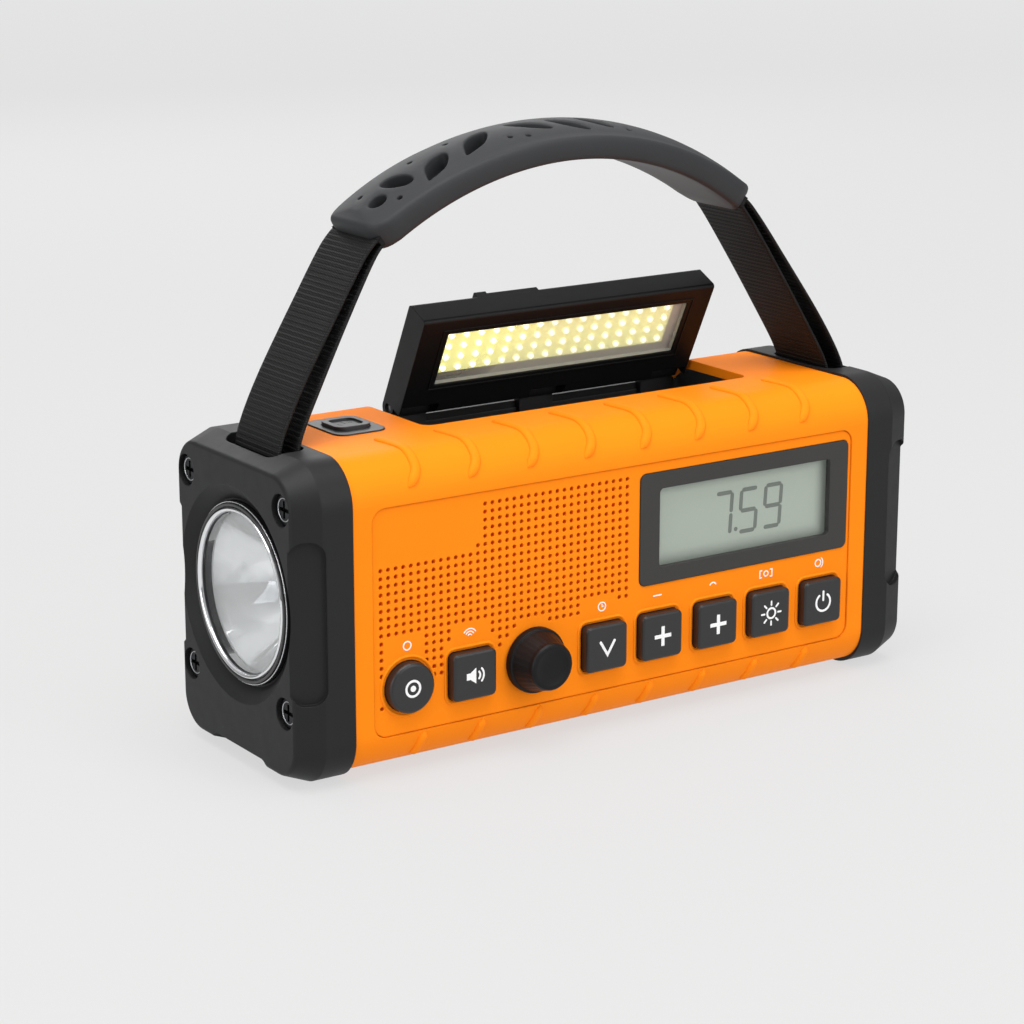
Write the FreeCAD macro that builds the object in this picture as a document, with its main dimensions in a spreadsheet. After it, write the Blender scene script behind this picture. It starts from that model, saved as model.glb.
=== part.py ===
"""Hand-crank emergency radio with a flip-up lamp lid, an end flashlight and a carrying handle.

Millimetres. X runs along the case (flashlight at -X), Y from the display face (-Y) to the crank
side (+Y), and Z up. The origin is the middle of the case, on the plane that its feet stand on.
"""
import FreeCAD, Part
import math
import os
from FreeCAD import Placement, Rotation, Vector

os.makedirs("parts", exist_ok=True)
doc = FreeCAD.newDocument("emergency_radio")

# --------------------------------------------------------------------------- driving dimensions
SHEET = "Dims"
DIMENSIONS = {
    "total_length": 160.0,
    "case_length": 134.0,
    "case_depth": 51.5,
    "case_bottom": 1.0,
    "case_top": 66.8,
    "case_radius": 9.0,
    "wall": 2.2,
    "cap_depth": 52.0,
    "cap_top": 67.4,
    "cap_radius": 9.5,
    "cap_edge": 1.0,
    "cap_taper": 2.4,
    "cap_taper_length": 6.0,
    "foot_height": 3.6,
    "foot_gap": 24.0,
    "screw_side": 19.8,
    "screw_low": 16.2,
    "screw_high": 58.5,
    "fascia_length": 125.0,
    "fascia_bottom": 8.8,
    "fascia_top": 57.2,
    "fascia_sunk": 0.3,
    "panel_radius": 3.0,
    "panel_gap": 0.15,
    "grille_pitch_x": 1.8,
    "grille_pitch_z": 1.715,
    "grille_hole": 0.92,
    "grille_right": 0.7,
    "grille_top": 54.5,
    "display_x": 32.8,
    "display_z": 42.5,
    "display_length": 57.4,
    "display_height": 24.7,
    "screen_length": 47.2,
    "screen_height": 17.4,
    "button_width": 10.6,
    "button_height": 10.2,
    "button_proud": 2.2,
    "button_travel": 0.8,
    "button_z": 18.9,
    "button_gap": 0.15,
    "round_button": 10.8,
    "knob_x": -23.2,
    "knob_z": 19.0,
    "knob_base": 14.2,
    "knob_face": 10.4,
    "knob_length": 7.2,
    "recess_left": -36.5,
    "recess_right": 49.7,
    "recess_front": -4.5,
    "recess_sill": 58.8,
    "tray_floor": 56.6,
    "lid_left": -29.2,
    "lid_right": 48.4,
    "lid_front": -3.9,
    "lid_thickness": 6.8,
    "hinge_y": 22.3,
    "hinge_z": 64.6,
    "hinge_radius": 2.2,
    "hinge_pin_radius": 1.0,
    "lid_open_angle": 64.0,
    "lamp_length": 61.9,
    "lamp_width": 11.5,
    "lamp_front": 1.1,
    "top_plate_x": -50.3,
    "top_plate_y": 4.5,
    "torch_z": 36.3,
    "torch_bore": 17.6,
    "torch_ring": 19.1,
    "torch_cone": 22.9,
    "strap_x": 72.2,
    "strap_width": 18.0,
    "strap_pin_z": 60.6,
    "strap_pin_radius": 1.4,
    "grip_radius": 83.4,
    "grip_top": 127.4,
    "grip_width": 24.4,
    "grip_end_width": 20.4,
    "grip_crown": 3.1,
    "grip_wall": 4.4,
    "grip_skin": 1.4,
    "grip_half_angle": 37.5,
    "grip_lean": 4.0,
    "crank_x": 30.0,
    "crank_z": 26.5,
    "crank_radius": 19.0,
    "gear_module": 0.6,
    "antenna_y": 29.0,
    "antenna_z": 55.6,
    "antenna_root": 52.5,
    "antenna_length": 98.0,
}


class Size:
    """A length that knows both its value and the spreadsheet formula it comes from."""

    def __init__(self, text, value):
        self.text = text
        self.value = value

    def _join(self, sign, other, value):
        right = other.text if isinstance(other, Size) else f"({other!r})"
        return Size(f"({self.text} {sign} {right})", value)

    def __add__(self, other):
        return self._join("+", other, self.value + number(other))

    def __sub__(self, other):
        return self._join("-", other, self.value - number(other))

    def __mul__(self, other):
        return self._join("*", other, self.value * number(other))

    def __truediv__(self, other):
        return self._join("/", other, self.value / number(other))

    def __neg__(self):
        return Size(f"(0 - {self.text})", -self.value)

    def __radd__(self, other):
        return self + other

    def __rmul__(self, other):
        return self * other

    def __rsub__(self, other):
        return -self + other


def number(size):
    return size.value if isinstance(size, Size) else float(size)


class Dimensions:
    """Every driving dimension as an attribute, each one a cell of the spreadsheet."""

    def __init__(self, table):
        self.sheet = doc.addObject("Spreadsheet::Sheet", SHEET)
        for row, (name, value) in enumerate(table.items(), start=1):
            self.sheet.set(f"A{row}", name)
            self.sheet.set(f"B{row}", str(value))
            self.sheet.setAlias(f"B{row}", name)
            setattr(self, name, Size(f"{SHEET}.{name}", value))
        doc.recompute()


D = Dimensions(DIMENSIONS)
PARTS = {}


# --------------------------------------------------------------------------- building helpers
def bind(item, prop, size):
    """Bind a property to the spreadsheet, or set it where the size is a plain number."""
    if isinstance(size, Size):
        item.setExpression(prop, size.text)
    else:
        item.setExpression(prop, repr(float(size)))


def place(item, x, y, z, rotation=None):
    item.Placement = Placement(Vector(number(x), number(y), number(z)), rotation or Rotation())
    bind(item, "Placement.Base.x", x)
    bind(item, "Placement.Base.y", y)
    bind(item, "Placement.Base.z", z)
    return item


def box(x, y, z):
    """A block between two bounds on each axis; each argument is a (low, high) pair."""
    item = doc.addObject("Part::Box", "block")
    for prop, (low, high) in zip(("Length", "Width", "Height"), (x, y, z)):
        bind(item, prop, high - low)
    return place(item, x[0], y[0], z[0])


AXIS_TURN = {
    "x": Rotation(Vector(0, 1, 0), 90),
    "y": Rotation(Vector(1, 0, 0), -90),
    "z": Rotation(),
}


def rod(axis, centre, radius, span):
    """A cylinder along an axis. centre gives the other two coordinates in X, Y, Z order."""
    item = doc.addObject("Part::Cylinder", "rod")
    bind(item, "Radius", radius)
    bind(item, "Height", span[1] - span[0])
    return place(item, *along(axis, centre, span[0]), rotation=AXIS_TURN[axis])


def cone(axis, centre, radii, span):
    """A cone frustum along an axis, radii at the low and the high end of the span."""
    item = doc.addObject("Part::Cone", "frustum")
    bind(item, "Radius1", radii[0])
    bind(item, "Radius2", radii[1])
    bind(item, "Height", span[1] - span[0])
    return place(item, *along(axis, centre, span[0]), rotation=AXIS_TURN[axis])


def along(axis, centre, start):
    first, second = centre
    return {
        "x": (start, first, second),
        "y": (first, start, second),
        "z": (first, second, start),
    }[axis]


def direction_of(edge):
    start, end = edge.firstVertex().Point, edge.lastVertex().Point
    return (end - start).normalize() if (end - start).Length > 1e-6 else Vector()


AXIS_VECTOR = {"x": Vector(1, 0, 0), "y": Vector(0, 1, 0), "z": Vector(0, 0, 1)}


def round_edges(item, radius, chosen):
    """Round the edges of an item for which chosen(edge) is true."""
    doc.recompute()
    fillet = doc.addObject("Part::Fillet", "rounded")
    fillet.Base = item
    size = number(radius)
    fillet.Edges = [
        (index, size, size)
        for index, edge in enumerate(item.Shape.Edges, start=1)
        if chosen(edge)
    ]
    doc.recompute()
    return fillet


def slab(x, y, z, radius, axis):
    """A block whose four edges along one axis are rounded."""
    way = AXIS_VECTOR[axis]
    return round_edges(box(x, y, z), radius, lambda edge: abs(direction_of(edge).dot(way)) > 0.999)


def fuse(*items):
    joined = doc.addObject("Part::MultiFuse", "joined")
    joined.Shapes = list(items)
    joined.Refine = True
    return joined


def group(*items):
    """Separate solids kept together in one node."""
    bundle = doc.addObject("Part::Compound", "set")
    bundle.Links = list(items)
    return bundle


def cut(base, *tools):
    carved = doc.addObject("Part::Cut", "carved")
    carved.Base = base
    carved.Tool = tools[0] if len(tools) == 1 else fuse(*tools)
    carved.Refine = True
    return carved


def common(first, second):
    shared = doc.addObject("Part::Common", "shared")
    shared.Base = first
    shared.Tool = second
    return shared


def name_part(name, item):
    """Give a finished sub-part its own label; the label names its file."""
    item.Label = name
    PARTS[name] = item
    return item


def shaped(name, shape):
    """A sub-part whose shape no feature builds, made with Part's own functions."""
    item = doc.addObject("Part::Feature", name)
    item.Shape = shape
    item.Placement = Placement()
    return name_part(name, item)


def middle(centre, size):
    """The (low, high) pair of a size about a centre."""
    return (centre - size / 2, centre + size / 2)


def pair(size):
    return (-size, size)


# --------------------------------------------------------------------------- common places
HALF = D.case_length / 2
END = D.total_length / 2
BACK = D.case_depth / 2
FRONT = -BACK
INSIDE_FRONT = FRONT + D.wall
INSIDE_BACK = BACK - D.wall
FASCIA_FACE = FRONT + D.fascia_sunk
COVER_FACE = BACK - D.fascia_sunk
SCREW_PLACES = [(y, z) for y in (-D.screw_side, D.screw_side) for z in (D.screw_low, D.screw_high)]
POST_REACH = [(HALF - 5.5, HALF - 3.2), (HALF - 3.3, HALF - 0.1)]
COVER_SCREWS = [(x, z) for x in (-57.0, 57.0) for z in (8.6, 48.4)]
POCKET_DEPTH = 1.2
SPIGOT_GAP = 0.12
SPIGOT_WALL = 1.7
COVER_LENGTH = 120.0
COVER_Z = (5.5, 51.5)
PORT_X = (-52.0, -24.0)
PORT_Z = (11.0, 21.0)
SQUARE_BUTTONS = {
    "sound_button": -39.2,
    "down_button": -5.7,
    "minus_button": 9.0,
    "plus_button": 24.1,
    "light_button": 38.9,
    "power_button": 53.8,
}
TARGET_BUTTON_X = -54.4
SPEAKER_X = -31.0
SPEAKER_Z = 40.4
# Holes through the grip's skin: angle along the arch, place across it, radius, half length, slant.
GRIP_HOLES = [
    (-32.4, -3.6, 2.0, 0.0, 0),
    (-27.9, -2.0, 2.3, 1.6, -62),
    (-22.2, -5.2, 2.2, 2.6, 36),
    (-14.4, -3.6, 2.2, 3.2, 38),
    (-4.7, -3.0, 1.7, 3.2, -42),
    (1.5, -4.8, 1.7, 3.0, -44),
    (6.7, -3.6, 1.6, 2.8, -44),
]


# --------------------------------------------------------------------------- case
def housing():
    """Orange sleeve, open at both ends, with ledges behind its front and rear openings."""
    outer = slab(pair(HALF), pair(BACK), (D.case_bottom, D.case_top), D.case_radius, "x")
    inner = slab(
        (-HALF - 1, HALF + 1),
        pair(INSIDE_BACK),
        (D.case_bottom + D.wall, D.case_top - D.wall),
        D.case_radius - D.wall,
        "x",
    )
    sleeve = cut(outer, inner)
    front_ledge = cut(
        box(
            pair(D.fascia_length / 2 + 1.3),
            (INSIDE_FRONT - 0.4, INSIDE_FRONT + 1.5),
            (D.fascia_bottom - 1.3, D.fascia_top + 1.3),
        ),
        box(
            pair(D.fascia_length / 2 - 1),
            (INSIDE_FRONT - 1, INSIDE_FRONT + 2),
            (D.fascia_bottom + 1.4, D.fascia_top - 1.4),
        ),
    )
    rear_ledge = cut(
        box(pair(63.0), (INSIDE_BACK - 3, INSIDE_BACK + 0.4), (2.8, 54.8)),
        box(pair(54.0), (INSIDE_BACK - 4, INSIDE_BACK + 1), (9.5, 45.5)),
    )
    posts = [screw_post(side, *centre) for side in (-1, 1) for centre in SCREW_PLACES]
    roots = [root for root, neck in posts]
    necks = common(fuse(*[neck for root, neck in posts]), spigot_slab((-HALF, HALF), SPIGOT_WALL + 0.1))
    solid = common(fuse(sleeve, front_ledge, rear_ledge, necks, *roots), outer)
    holes = [
        rod("x", centre, 1.45, (side * HALF - 8, side * HALF + 8))
        for side in (-1, 1)
        for centre in SCREW_PLACES
    ]
    fascia_opening = slab(
        pair(D.fascia_length / 2),
        (FRONT - 3, INSIDE_FRONT),
        (D.fascia_bottom, D.fascia_top),
        D.panel_radius,
        "y",
    )
    cover_opening = slab(
        pair(COVER_LENGTH / 2 + D.panel_gap), (INSIDE_BACK, BACK + 3), COVER_Z, D.panel_radius, "y"
    )
    recess = slab(
        (D.recess_left, D.recess_right), (D.recess_front, BACK + 8), (D.recess_sill, D.case_top + 3), 2.5, "z"
    )
    plate_hole = slab(
        middle(D.top_plate_x, 12.4), middle(D.top_plate_y, 15.2), (D.case_top - 6, D.case_top + 3), 2.8, "z"
    )
    cover_holes = [rod("y", centre, 0.9, (INSIDE_BACK - 4, BACK + 1)) for centre in COVER_SCREWS]
    name_part(
        "main_housing",
        cut(solid, fascia_opening, cover_opening, recess, plate_hole, *holes, *cover_holes),
    )


def spigot_slab(x, inset):
    """Block with the outline of the sleeve's inside, set in by a distance all round."""
    side = INSIDE_BACK - inset
    low, high = D.case_bottom + D.wall + inset, D.case_top - D.wall - inset
    return slab(x, pair(side), (low, high), D.case_radius - D.wall - inset, "x")


def screw_post(side, y, z):
    """Block that takes a cap's screw: a wide root on the sleeve's wall and a neck inside the cap."""
    half = 3.6
    out_y, in_y = (INSIDE_FRONT - 0.1, y + half) if y.value < 0 else (INSIDE_BACK + 0.1, y - half)
    neck_y = y - 1.8 if y.value < 0 else y + 1.8
    root_x, neck_x = (sorted((side * low, side * high), key=number) for low, high in POST_REACH)
    root = box(root_x, sorted((out_y, in_y), key=number), (z - half, z + half))
    neck = box(neck_x, sorted((neck_y, in_y), key=number), (z - half, z + half))
    return root, neck


def grille_places():
    """Centres of the speaker holes. The upper left corner stays plain, and so do the controls."""
    centres = []
    for row in range(25):
        for column in range(35):
            x = D.grille_right.value - column * D.grille_pitch_x.value
            z = D.grille_top.value - row * D.grille_pitch_z.value
            plain_corner = (row < 5 and column > 20) or (row == 5 and column > 21)
            right_end = 7 * max(0, row - 15) ** 0.75
            if plain_corner or (row > 15 and column < right_end):
                continue
            if near_control(x, z):
                continue
            centres.append((x, z))
    return centres


def near_control(x, z):
    """True where a hole would run into a control or the mark printed above it."""
    knob = math.hypot(x - D.knob_x.value, z - D.knob_z.value) < D.knob_base.value / 2 + 1.6
    controls = (TARGET_BUTTON_X, SQUARE_BUTTONS["sound_button"], SQUARE_BUTTONS["down_button"])
    rise = z - D.button_z.value
    target = math.hypot(x - TARGET_BUTTON_X, rise) < 6.6
    square = any(abs(x - centre) < 6.6 and abs(rise) < 6.9 for centre in controls[1:])
    mark = any(abs(x - centre) < 4.6 and 0 < rise < 11.5 for centre in controls)
    return knob or target or square or mark


def fascia():
    """Orange front panel with the speaker holes and the cut-outs for the display and controls."""
    gap = D.panel_gap
    plate = slab(
        pair(D.fascia_length / 2 - gap),
        (FASCIA_FACE, INSIDE_FRONT),
        (D.fascia_bottom + gap, D.fascia_top - gap),
        D.panel_radius - gap,
        "y",
    )
    through = (FASCIA_FACE - 1, INSIDE_FRONT + 1)
    openings = [
        slab(
            middle(D.display_x, D.display_length + 0.2),
            through,
            middle(D.display_z, D.display_height + 0.2),
            1.6,
            "y",
        ),
        rod("y", (TARGET_BUTTON_X, D.button_z), D.round_button / 2 + D.button_gap, through),
        rod("y", (D.knob_x, D.knob_z), 3.6, through),
    ]
    for x in SQUARE_BUTTONS.values():
        openings.append(
            slab(
                middle(x, D.button_width + 2 * D.button_gap),
                through,
                middle(D.button_z, D.button_height + 2 * D.button_gap),
                1.35,
                "y",
            )
        )
    panel = cut(plate, *openings)
    doc.recompute()
    drill = Part.makeCompound(
        [
            Part.makeCylinder(D.grille_hole.value / 2, 4, Vector(x, FRONT.value - 1, z), Vector(0, 1, 0))
            for x, z in grille_places()
        ]
    )
    shaped("front_fascia", panel.Shape.cut(drill))


def rear_cover():
    """Plate that closes the back, with the crank bearing hole and the socket opening."""
    plate = slab(
        pair(COVER_LENGTH / 2),
        (INSIDE_BACK, COVER_FACE),
        (COVER_Z[0] + D.panel_gap, COVER_Z[1] - D.panel_gap),
        D.panel_radius,
        "y",
    )
    through = (INSIDE_BACK - 1, BACK + 1)
    holes = [rod("y", centre, 1.1, through) for centre in COVER_SCREWS]
    holes += [rod("y", centre, 2.1, (COVER_FACE - 0.8, BACK + 1)) for centre in COVER_SCREWS]
    crank_hole = rod("y", (D.crank_x, D.crank_z), 5.0, through)
    name_part("rear_cover", cut(plate, crank_hole, box(PORT_X, through, PORT_Z), *holes))


def tapered_end(side):
    """Outer stretch of an end cap, drawn in all round towards the end face."""
    root = slab((0.0, 1.0), pair(D.cap_depth / 2), (0.0, D.cap_top), D.cap_radius, "x")
    doc.recompute()
    profile = doc.addObject("Part::Feature", "cap_profile")
    flat = next(face for face in root.Shape.Faces if abs(face.CenterOfMass.x) < 1e-6)
    profile.Shape = flat.OuterWire
    taper = doc.addObject("Part::Extrusion", "taper")
    taper.Base = profile
    taper.DirMode = "Custom"
    taper.Dir = Vector(side, 0, 0)
    taper.Solid = True
    bind(taper, "LengthFwd", D.cap_taper_length)
    taper.TaperAngle = -math.degrees(math.atan2(D.cap_taper.value, D.cap_taper_length.value))
    knee = END - D.cap_taper_length
    return place(taper, side * knee, 0.0, 0.0)


def finger_pockets(side):
    """Shallow grips sunk into the taper, front and back."""
    lean = math.degrees(math.atan2(D.cap_taper.value, D.cap_taper_length.value))
    length = math.hypot(D.cap_taper.value, D.cap_taper_length.value)
    pockets = []
    for face in (-1, 1):
        tool = group(slab(pair(length / 2 + 0.6), (-POCKET_DEPTH, 4.0), (18.5, 52.5), 3.3, "y"))
        turn = -side * lean if face > 0 else 180 + side * lean
        middle_x = side * (END - D.cap_taper_length / 2)
        middle_y = face * (D.cap_depth / 2 - D.cap_taper / 2)
        pockets.append(place(tool, middle_x, middle_y, 0.0, rotation=Rotation(Vector(0, 0, 1), turn)))
    return pockets


def end_cap(name, side):
    """Black end cap with two feet, four screw holes and the pocket for the strap."""

    def reach(near, far):
        """A span measured outward from the case's end, on this cap's side."""
        low, high = HALF + near, HALF + far
        return (low, high) if side > 0 else (-high, -low)

    thickness = END - HALF
    straight = slab(
        reach(0, thickness - D.cap_taper_length), pair(D.cap_depth / 2), (0.0, D.cap_top), D.cap_radius, "x"
    )
    end_x = side * END.value
    tapered = round_edges(
        fuse(straight, tapered_end(side)),
        D.cap_edge,
        lambda edge: all(abs(vertex.X - end_x) < 1e-6 for vertex in edge.Vertexes),
    )
    block = cut(tapered, *finger_pockets(side))
    notch = slab(
        (-END - 1, -HALF + 1) if side < 0 else (HALF - 1, END + 1),
        pair(D.foot_gap / 2),
        (-4.0, D.foot_height),
        2.5,
        "x",
    )
    strap_pocket = slab(
        middle(side * D.strap_x, 8.4), pair(10.8), (58.3, D.cap_top + 3), 3.0, "z"
    )
    pin_hole = rod("y", (side * D.strap_x, D.strap_pin_z), D.strap_pin_radius + 0.03, pair(13.5))
    tools = [notch, strap_pocket, pin_hole]
    for centre in SCREW_PLACES:
        tools.append(rod("x", centre, 1.55, reach(-1, thickness + 1)))
        tools.append(rod("x", centre, 3.4, reach(thickness - 2.4, thickness + 1)))
    if side < 0:
        torch = (0.0, D.torch_z)
        tools.append(rod("x", torch, D.torch_bore, reach(-1, thickness + 1)))
        tools.append(rod("x", torch, D.torch_ring + 0.1, reach(thickness - 3.8, thickness + 1)))
        tools.append(cone("x", torch, (D.torch_cone + 0.4, D.torch_ring + 0.5), (-END - 0.3, -END + 2.6)))
    else:
        tools.append(slab(reach(1.5, thickness - 3), pair(14.0), (10.0, 54.0), 3.0, "x"))
        tools.append(slab(reach(thickness - 1, thickness + 1), pair(13.0), (22.0, 50.0), 5.0, "x"))
    spigot = cut(
        spigot_slab(reach(-3, 0.5), SPIGOT_GAP),
        spigot_slab(reach(-4, 1.5), SPIGOT_WALL),
    )
    name_part(name, fuse(cut(block, *tools), spigot))


def strap_pins():
    """The pin in each cap that its webbing loops around."""
    pins = [
        rod("y", (side * D.strap_x, D.strap_pin_z), D.strap_pin_radius, pair(13.4)) for side in (-1, 1)
    ]
    name_part("strap_pins", group(*pins))


def case_screws():
    """Eight cross-head screws through the end caps, and four shorter ones in the rear cover."""
    screws = [
        fuse(
            rod("y", centre, 1.9, (COVER_FACE - 0.8, COVER_FACE - 0.05)),
            rod("y", centre, 0.85, (INSIDE_BACK - 2.8, COVER_FACE - 0.7)),
        )
        for centre in COVER_SCREWS
    ]
    for side in (-1, 1):
        seat = side * (END.value - 2.4)
        head = sorted((seat, seat + side * 1.5))
        shank = sorted((seat, seat - side * 15.9))
        recess_span = sorted((seat + side * 0.6, seat + side * 3))
        for y, z in SCREW_PLACES:
            centre = (y, z)
            across = box(recess_span, middle(y, 3.6), middle(z, 0.8))
            upright = box(recess_span, middle(y, 0.8), middle(z, 3.6))
            body = fuse(rod("x", centre, 3.0, head), rod("x", centre, 1.35, shank))
            screws.append(cut(body, across, upright))
    name_part("case_screws", group(*screws))


# --------------------------------------------------------------------------- flashlight
def flashlight():
    torch = (0.0, D.torch_z)
    ring = cut(
        rod("x", torch, D.torch_ring, (-END + 1.6, -END + 3.8)),
        rod("x", torch, D.torch_ring - 2.2, (-END, -END + 5)),
    )
    name_part("flashlight_bezel", ring)
    lens = rod("x", torch, D.torch_ring - 2.3, (-END + 2.2, -END + 3.7))
    name_part("flashlight_lens", lens)
    bowl_front = -END.value + 3.9
    bowl_back = -END.value + 18.0
    steps = [index / 8 for index in range(9)]
    inner = [
        (bowl_front + (bowl_back - bowl_front) * (1 - (radius / 16.6) ** 2), radius)
        for radius in [16.6 - (16.6 - 3.6) * step for step in steps]
    ]
    wall = 0.8
    outer = [(x, radius + wall) for x, radius in reversed(inner)]
    axis_height = D.torch_z.value
    outline = [Vector(x, 0, axis_height + radius) for x, radius in inner + outer]
    face = Part.Face(Part.makePolygon(outline + outline[:1]))
    shaped("flashlight_reflector", face.revolve(Vector(0, 0, axis_height), Vector(1, 0, 0), 360))
    board = rod("x", torch, 9.0, (-END + 18.2, -END + 19.8))
    led = box((-END + 17.2, -END + 18.4), pair(1.7), middle(D.torch_z, 3.4))
    dome = cone("x", torch, (0.9, 1.5), (-END + 16.4, -END + 17.3))
    name_part("flashlight_board", fuse(board, led, dome))


# --------------------------------------------------------------------------- display
def display():
    x, z = D.display_x, D.display_z
    beyond = INSIDE_FRONT + 3
    collar = (INSIDE_FRONT, INSIDE_FRONT + 1.5)
    rim = (FRONT + 0.05, INSIDE_FRONT)
    frame = fuse(
        slab(middle(x, D.display_length), rim, middle(z, D.display_height), 1.5, "y"),
        slab(middle(x, D.display_length - 2), collar, middle(z, D.display_height - 2), 1.5, "y"),
    )
    clear = (FRONT - 1, beyond)
    opening = slab(middle(x, D.screen_length), clear, middle(z, D.screen_height), 1.0, "y")
    seat = box(middle(x, D.screen_length + 2.2), (FRONT + 1.3, beyond), middle(z, D.screen_height + 2.2))
    name_part("display_bezel", cut(frame, opening, seat))
    glass = (FRONT + 1.3, FRONT + 2.3)
    name_part("display_window", box(middle(x, D.screen_length + 2), glass, middle(z, D.screen_height + 2)))
    panel = (FRONT + 2.4, FRONT + 4.4)
    name_part("lcd_panel", box(middle(x, D.screen_length + 1.6), panel, middle(z, D.screen_height + 1.6)))


# --------------------------------------------------------------------------- front controls
def push_buttons():
    """Square and round keys: a proud cap, a flange that holds it behind the panel, and a stem."""
    flange = (INSIDE_FRONT + 0.1, INSIDE_FRONT + 0.9)
    face = FASCIA_FACE - D.button_proud
    shank_end = INSIDE_FRONT + 1.0
    is_rim = lambda edge: all(abs(vertex.Y - face.value) < 1e-6 for vertex in edge.Vertexes)
    for name, x in SQUARE_BUTTONS.items():
        tall = middle(D.button_z, D.button_height)
        cap = slab(middle(x, D.button_width), (face, INSIDE_FRONT + 0.2), tall, 1.2, "y")
        cap = round_edges(cap, 0.6, is_rim)
        tall = middle(D.button_z, D.button_height + 1.6)
        rim = slab(middle(x, D.button_width + 1.6), flange, tall, 1.2, "y")
        stem = rod("y", (x, D.button_z), 1.6, (INSIDE_FRONT + 0.5, shank_end))
        name_part(name, fuse(cap, rim, stem))
    centre = (TARGET_BUTTON_X, D.button_z)
    cap = round_edges(rod("y", centre, D.round_button / 2, (face, INSIDE_FRONT + 0.2)), 0.8, is_rim)
    rim = rod("y", centre, D.round_button / 2 + 0.8, flange)
    stem = rod("y", centre, 1.6, (INSIDE_FRONT + 0.5, shank_end))
    name_part("target_button", fuse(cap, rim, stem))


def tuning_knob():
    """Tapered knob on the encoder's shaft; both turn together."""
    centre = (D.knob_x, D.knob_z)
    face = FASCIA_FACE - D.knob_length
    body = cone("y", centre, (D.knob_face / 2, D.knob_base / 2 - 0.3), (face, FASCIA_FACE - 1.6))
    skirt = rod("y", centre, D.knob_base / 2, (FASCIA_FACE - 1.6, FASCIA_FACE - 0.3))
    whole = round_edges(
        fuse(body, skirt),
        0.7,
        lambda edge: all(abs(vertex.Y - face.value) < 1e-6 for vertex in edge.Vertexes),
    )
    name_part("tuning_knob", fuse(whole, rod("y", centre, 1.58, (FASCIA_FACE - 2, FRONT + 9.4))))
    encoder_front = FRONT + 7.1
    case = box(middle(D.knob_x, 11.0), (encoder_front, encoder_front + 4.5), middle(D.knob_z, 11.0))
    neck = rod("y", centre, 3.4, (FRONT + 1.2, encoder_front + 0.5))
    bore = rod("y", centre, 1.63, (FRONT - 1, FRONT + 9.5))
    name_part("tuning_encoder", cut(fuse(case, neck), bore))


def keypad():
    """Circuit board behind the controls, with one switch under each key."""
    board_front = FRONT + 5.5
    board_back = FRONT + 7.0
    board = box(pair(61.2), (board_front, board_back), (9.5, 24.5))
    neck_hole = rod("y", (D.knob_x, D.knob_z), 3.7, (board_front - 1, board_back + 1))
    populated = [cut(board, neck_hole)]
    centres = [TARGET_BUTTON_X, *SQUARE_BUTTONS.values()]
    front = INSIDE_FRONT + 1.9
    for x in centres:
        populated.append(box(middle(x, 6.0), (front + 0.5, board_front + 0.2), middle(D.button_z, 6.0)))
        populated.append(rod("y", (x, D.button_z), 1.5, (front, front + 0.6)))
    name_part("keypad_board", fuse(*populated))


def top_button():
    """Square push button with a shallow dish, in its own black plate on the case's top."""
    x, y = D.top_plate_x, D.top_plate_y
    top = D.case_top + 0.3
    plate = fuse(
        slab(middle(x, 12.1), middle(y, 14.9), (D.case_top - D.wall, top), 2.7, "z"),
        slab(middle(x, 13.6), middle(y, 16.4), (D.case_top - D.wall - 1.2, D.case_top - D.wall), 2.7, "z"),
    )
    hole = slab(middle(x, 8.8), middle(y, 8.8), (D.case_top - 6, D.case_top + 2), 2.3, "z")
    name_part("top_button_plate", cut(plate, hole))
    cap = slab(middle(x, 8.6), middle(y, 8.6), (D.case_top - 3.6, top + 0.75), 2.2, "z")
    dish = slab(middle(x, 6.0), middle(y, 6.0), (top + 0.3, top + 2), 1.5, "z")
    rim = slab(middle(x, 10.6), middle(y, 10.6), (D.case_top - 4.4, D.case_top - 3.5), 2.2, "z")
    name_part("top_button", cut(fuse(cap, rim), dish))
    deck = D.case_top - 8.4
    board = box(middle(x, 13.0), middle(y, 16.0), (deck - 1.2, deck))
    switch = box(middle(x, 6.0), middle(y, 6.0), (deck - 0.2, deck + 2.4))
    plunger = rod("z", (x, y), 1.5, (deck + 2, deck + 3.0))
    name_part("top_switch_board", fuse(board, switch, plunger))


# --------------------------------------------------------------------------- lid with the lamp
LID_SPAN = D.lid_right - D.lid_left
KNUCKLES = [
    (D.lid_left + 0.5, D.lid_left + 9.5),
    (D.lid_left + 34.3, D.lid_left + 43.3),
    (D.lid_right - 9.5, D.lid_right - 0.5),
]
HINGE = (D.hinge_y, D.hinge_z)


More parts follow.
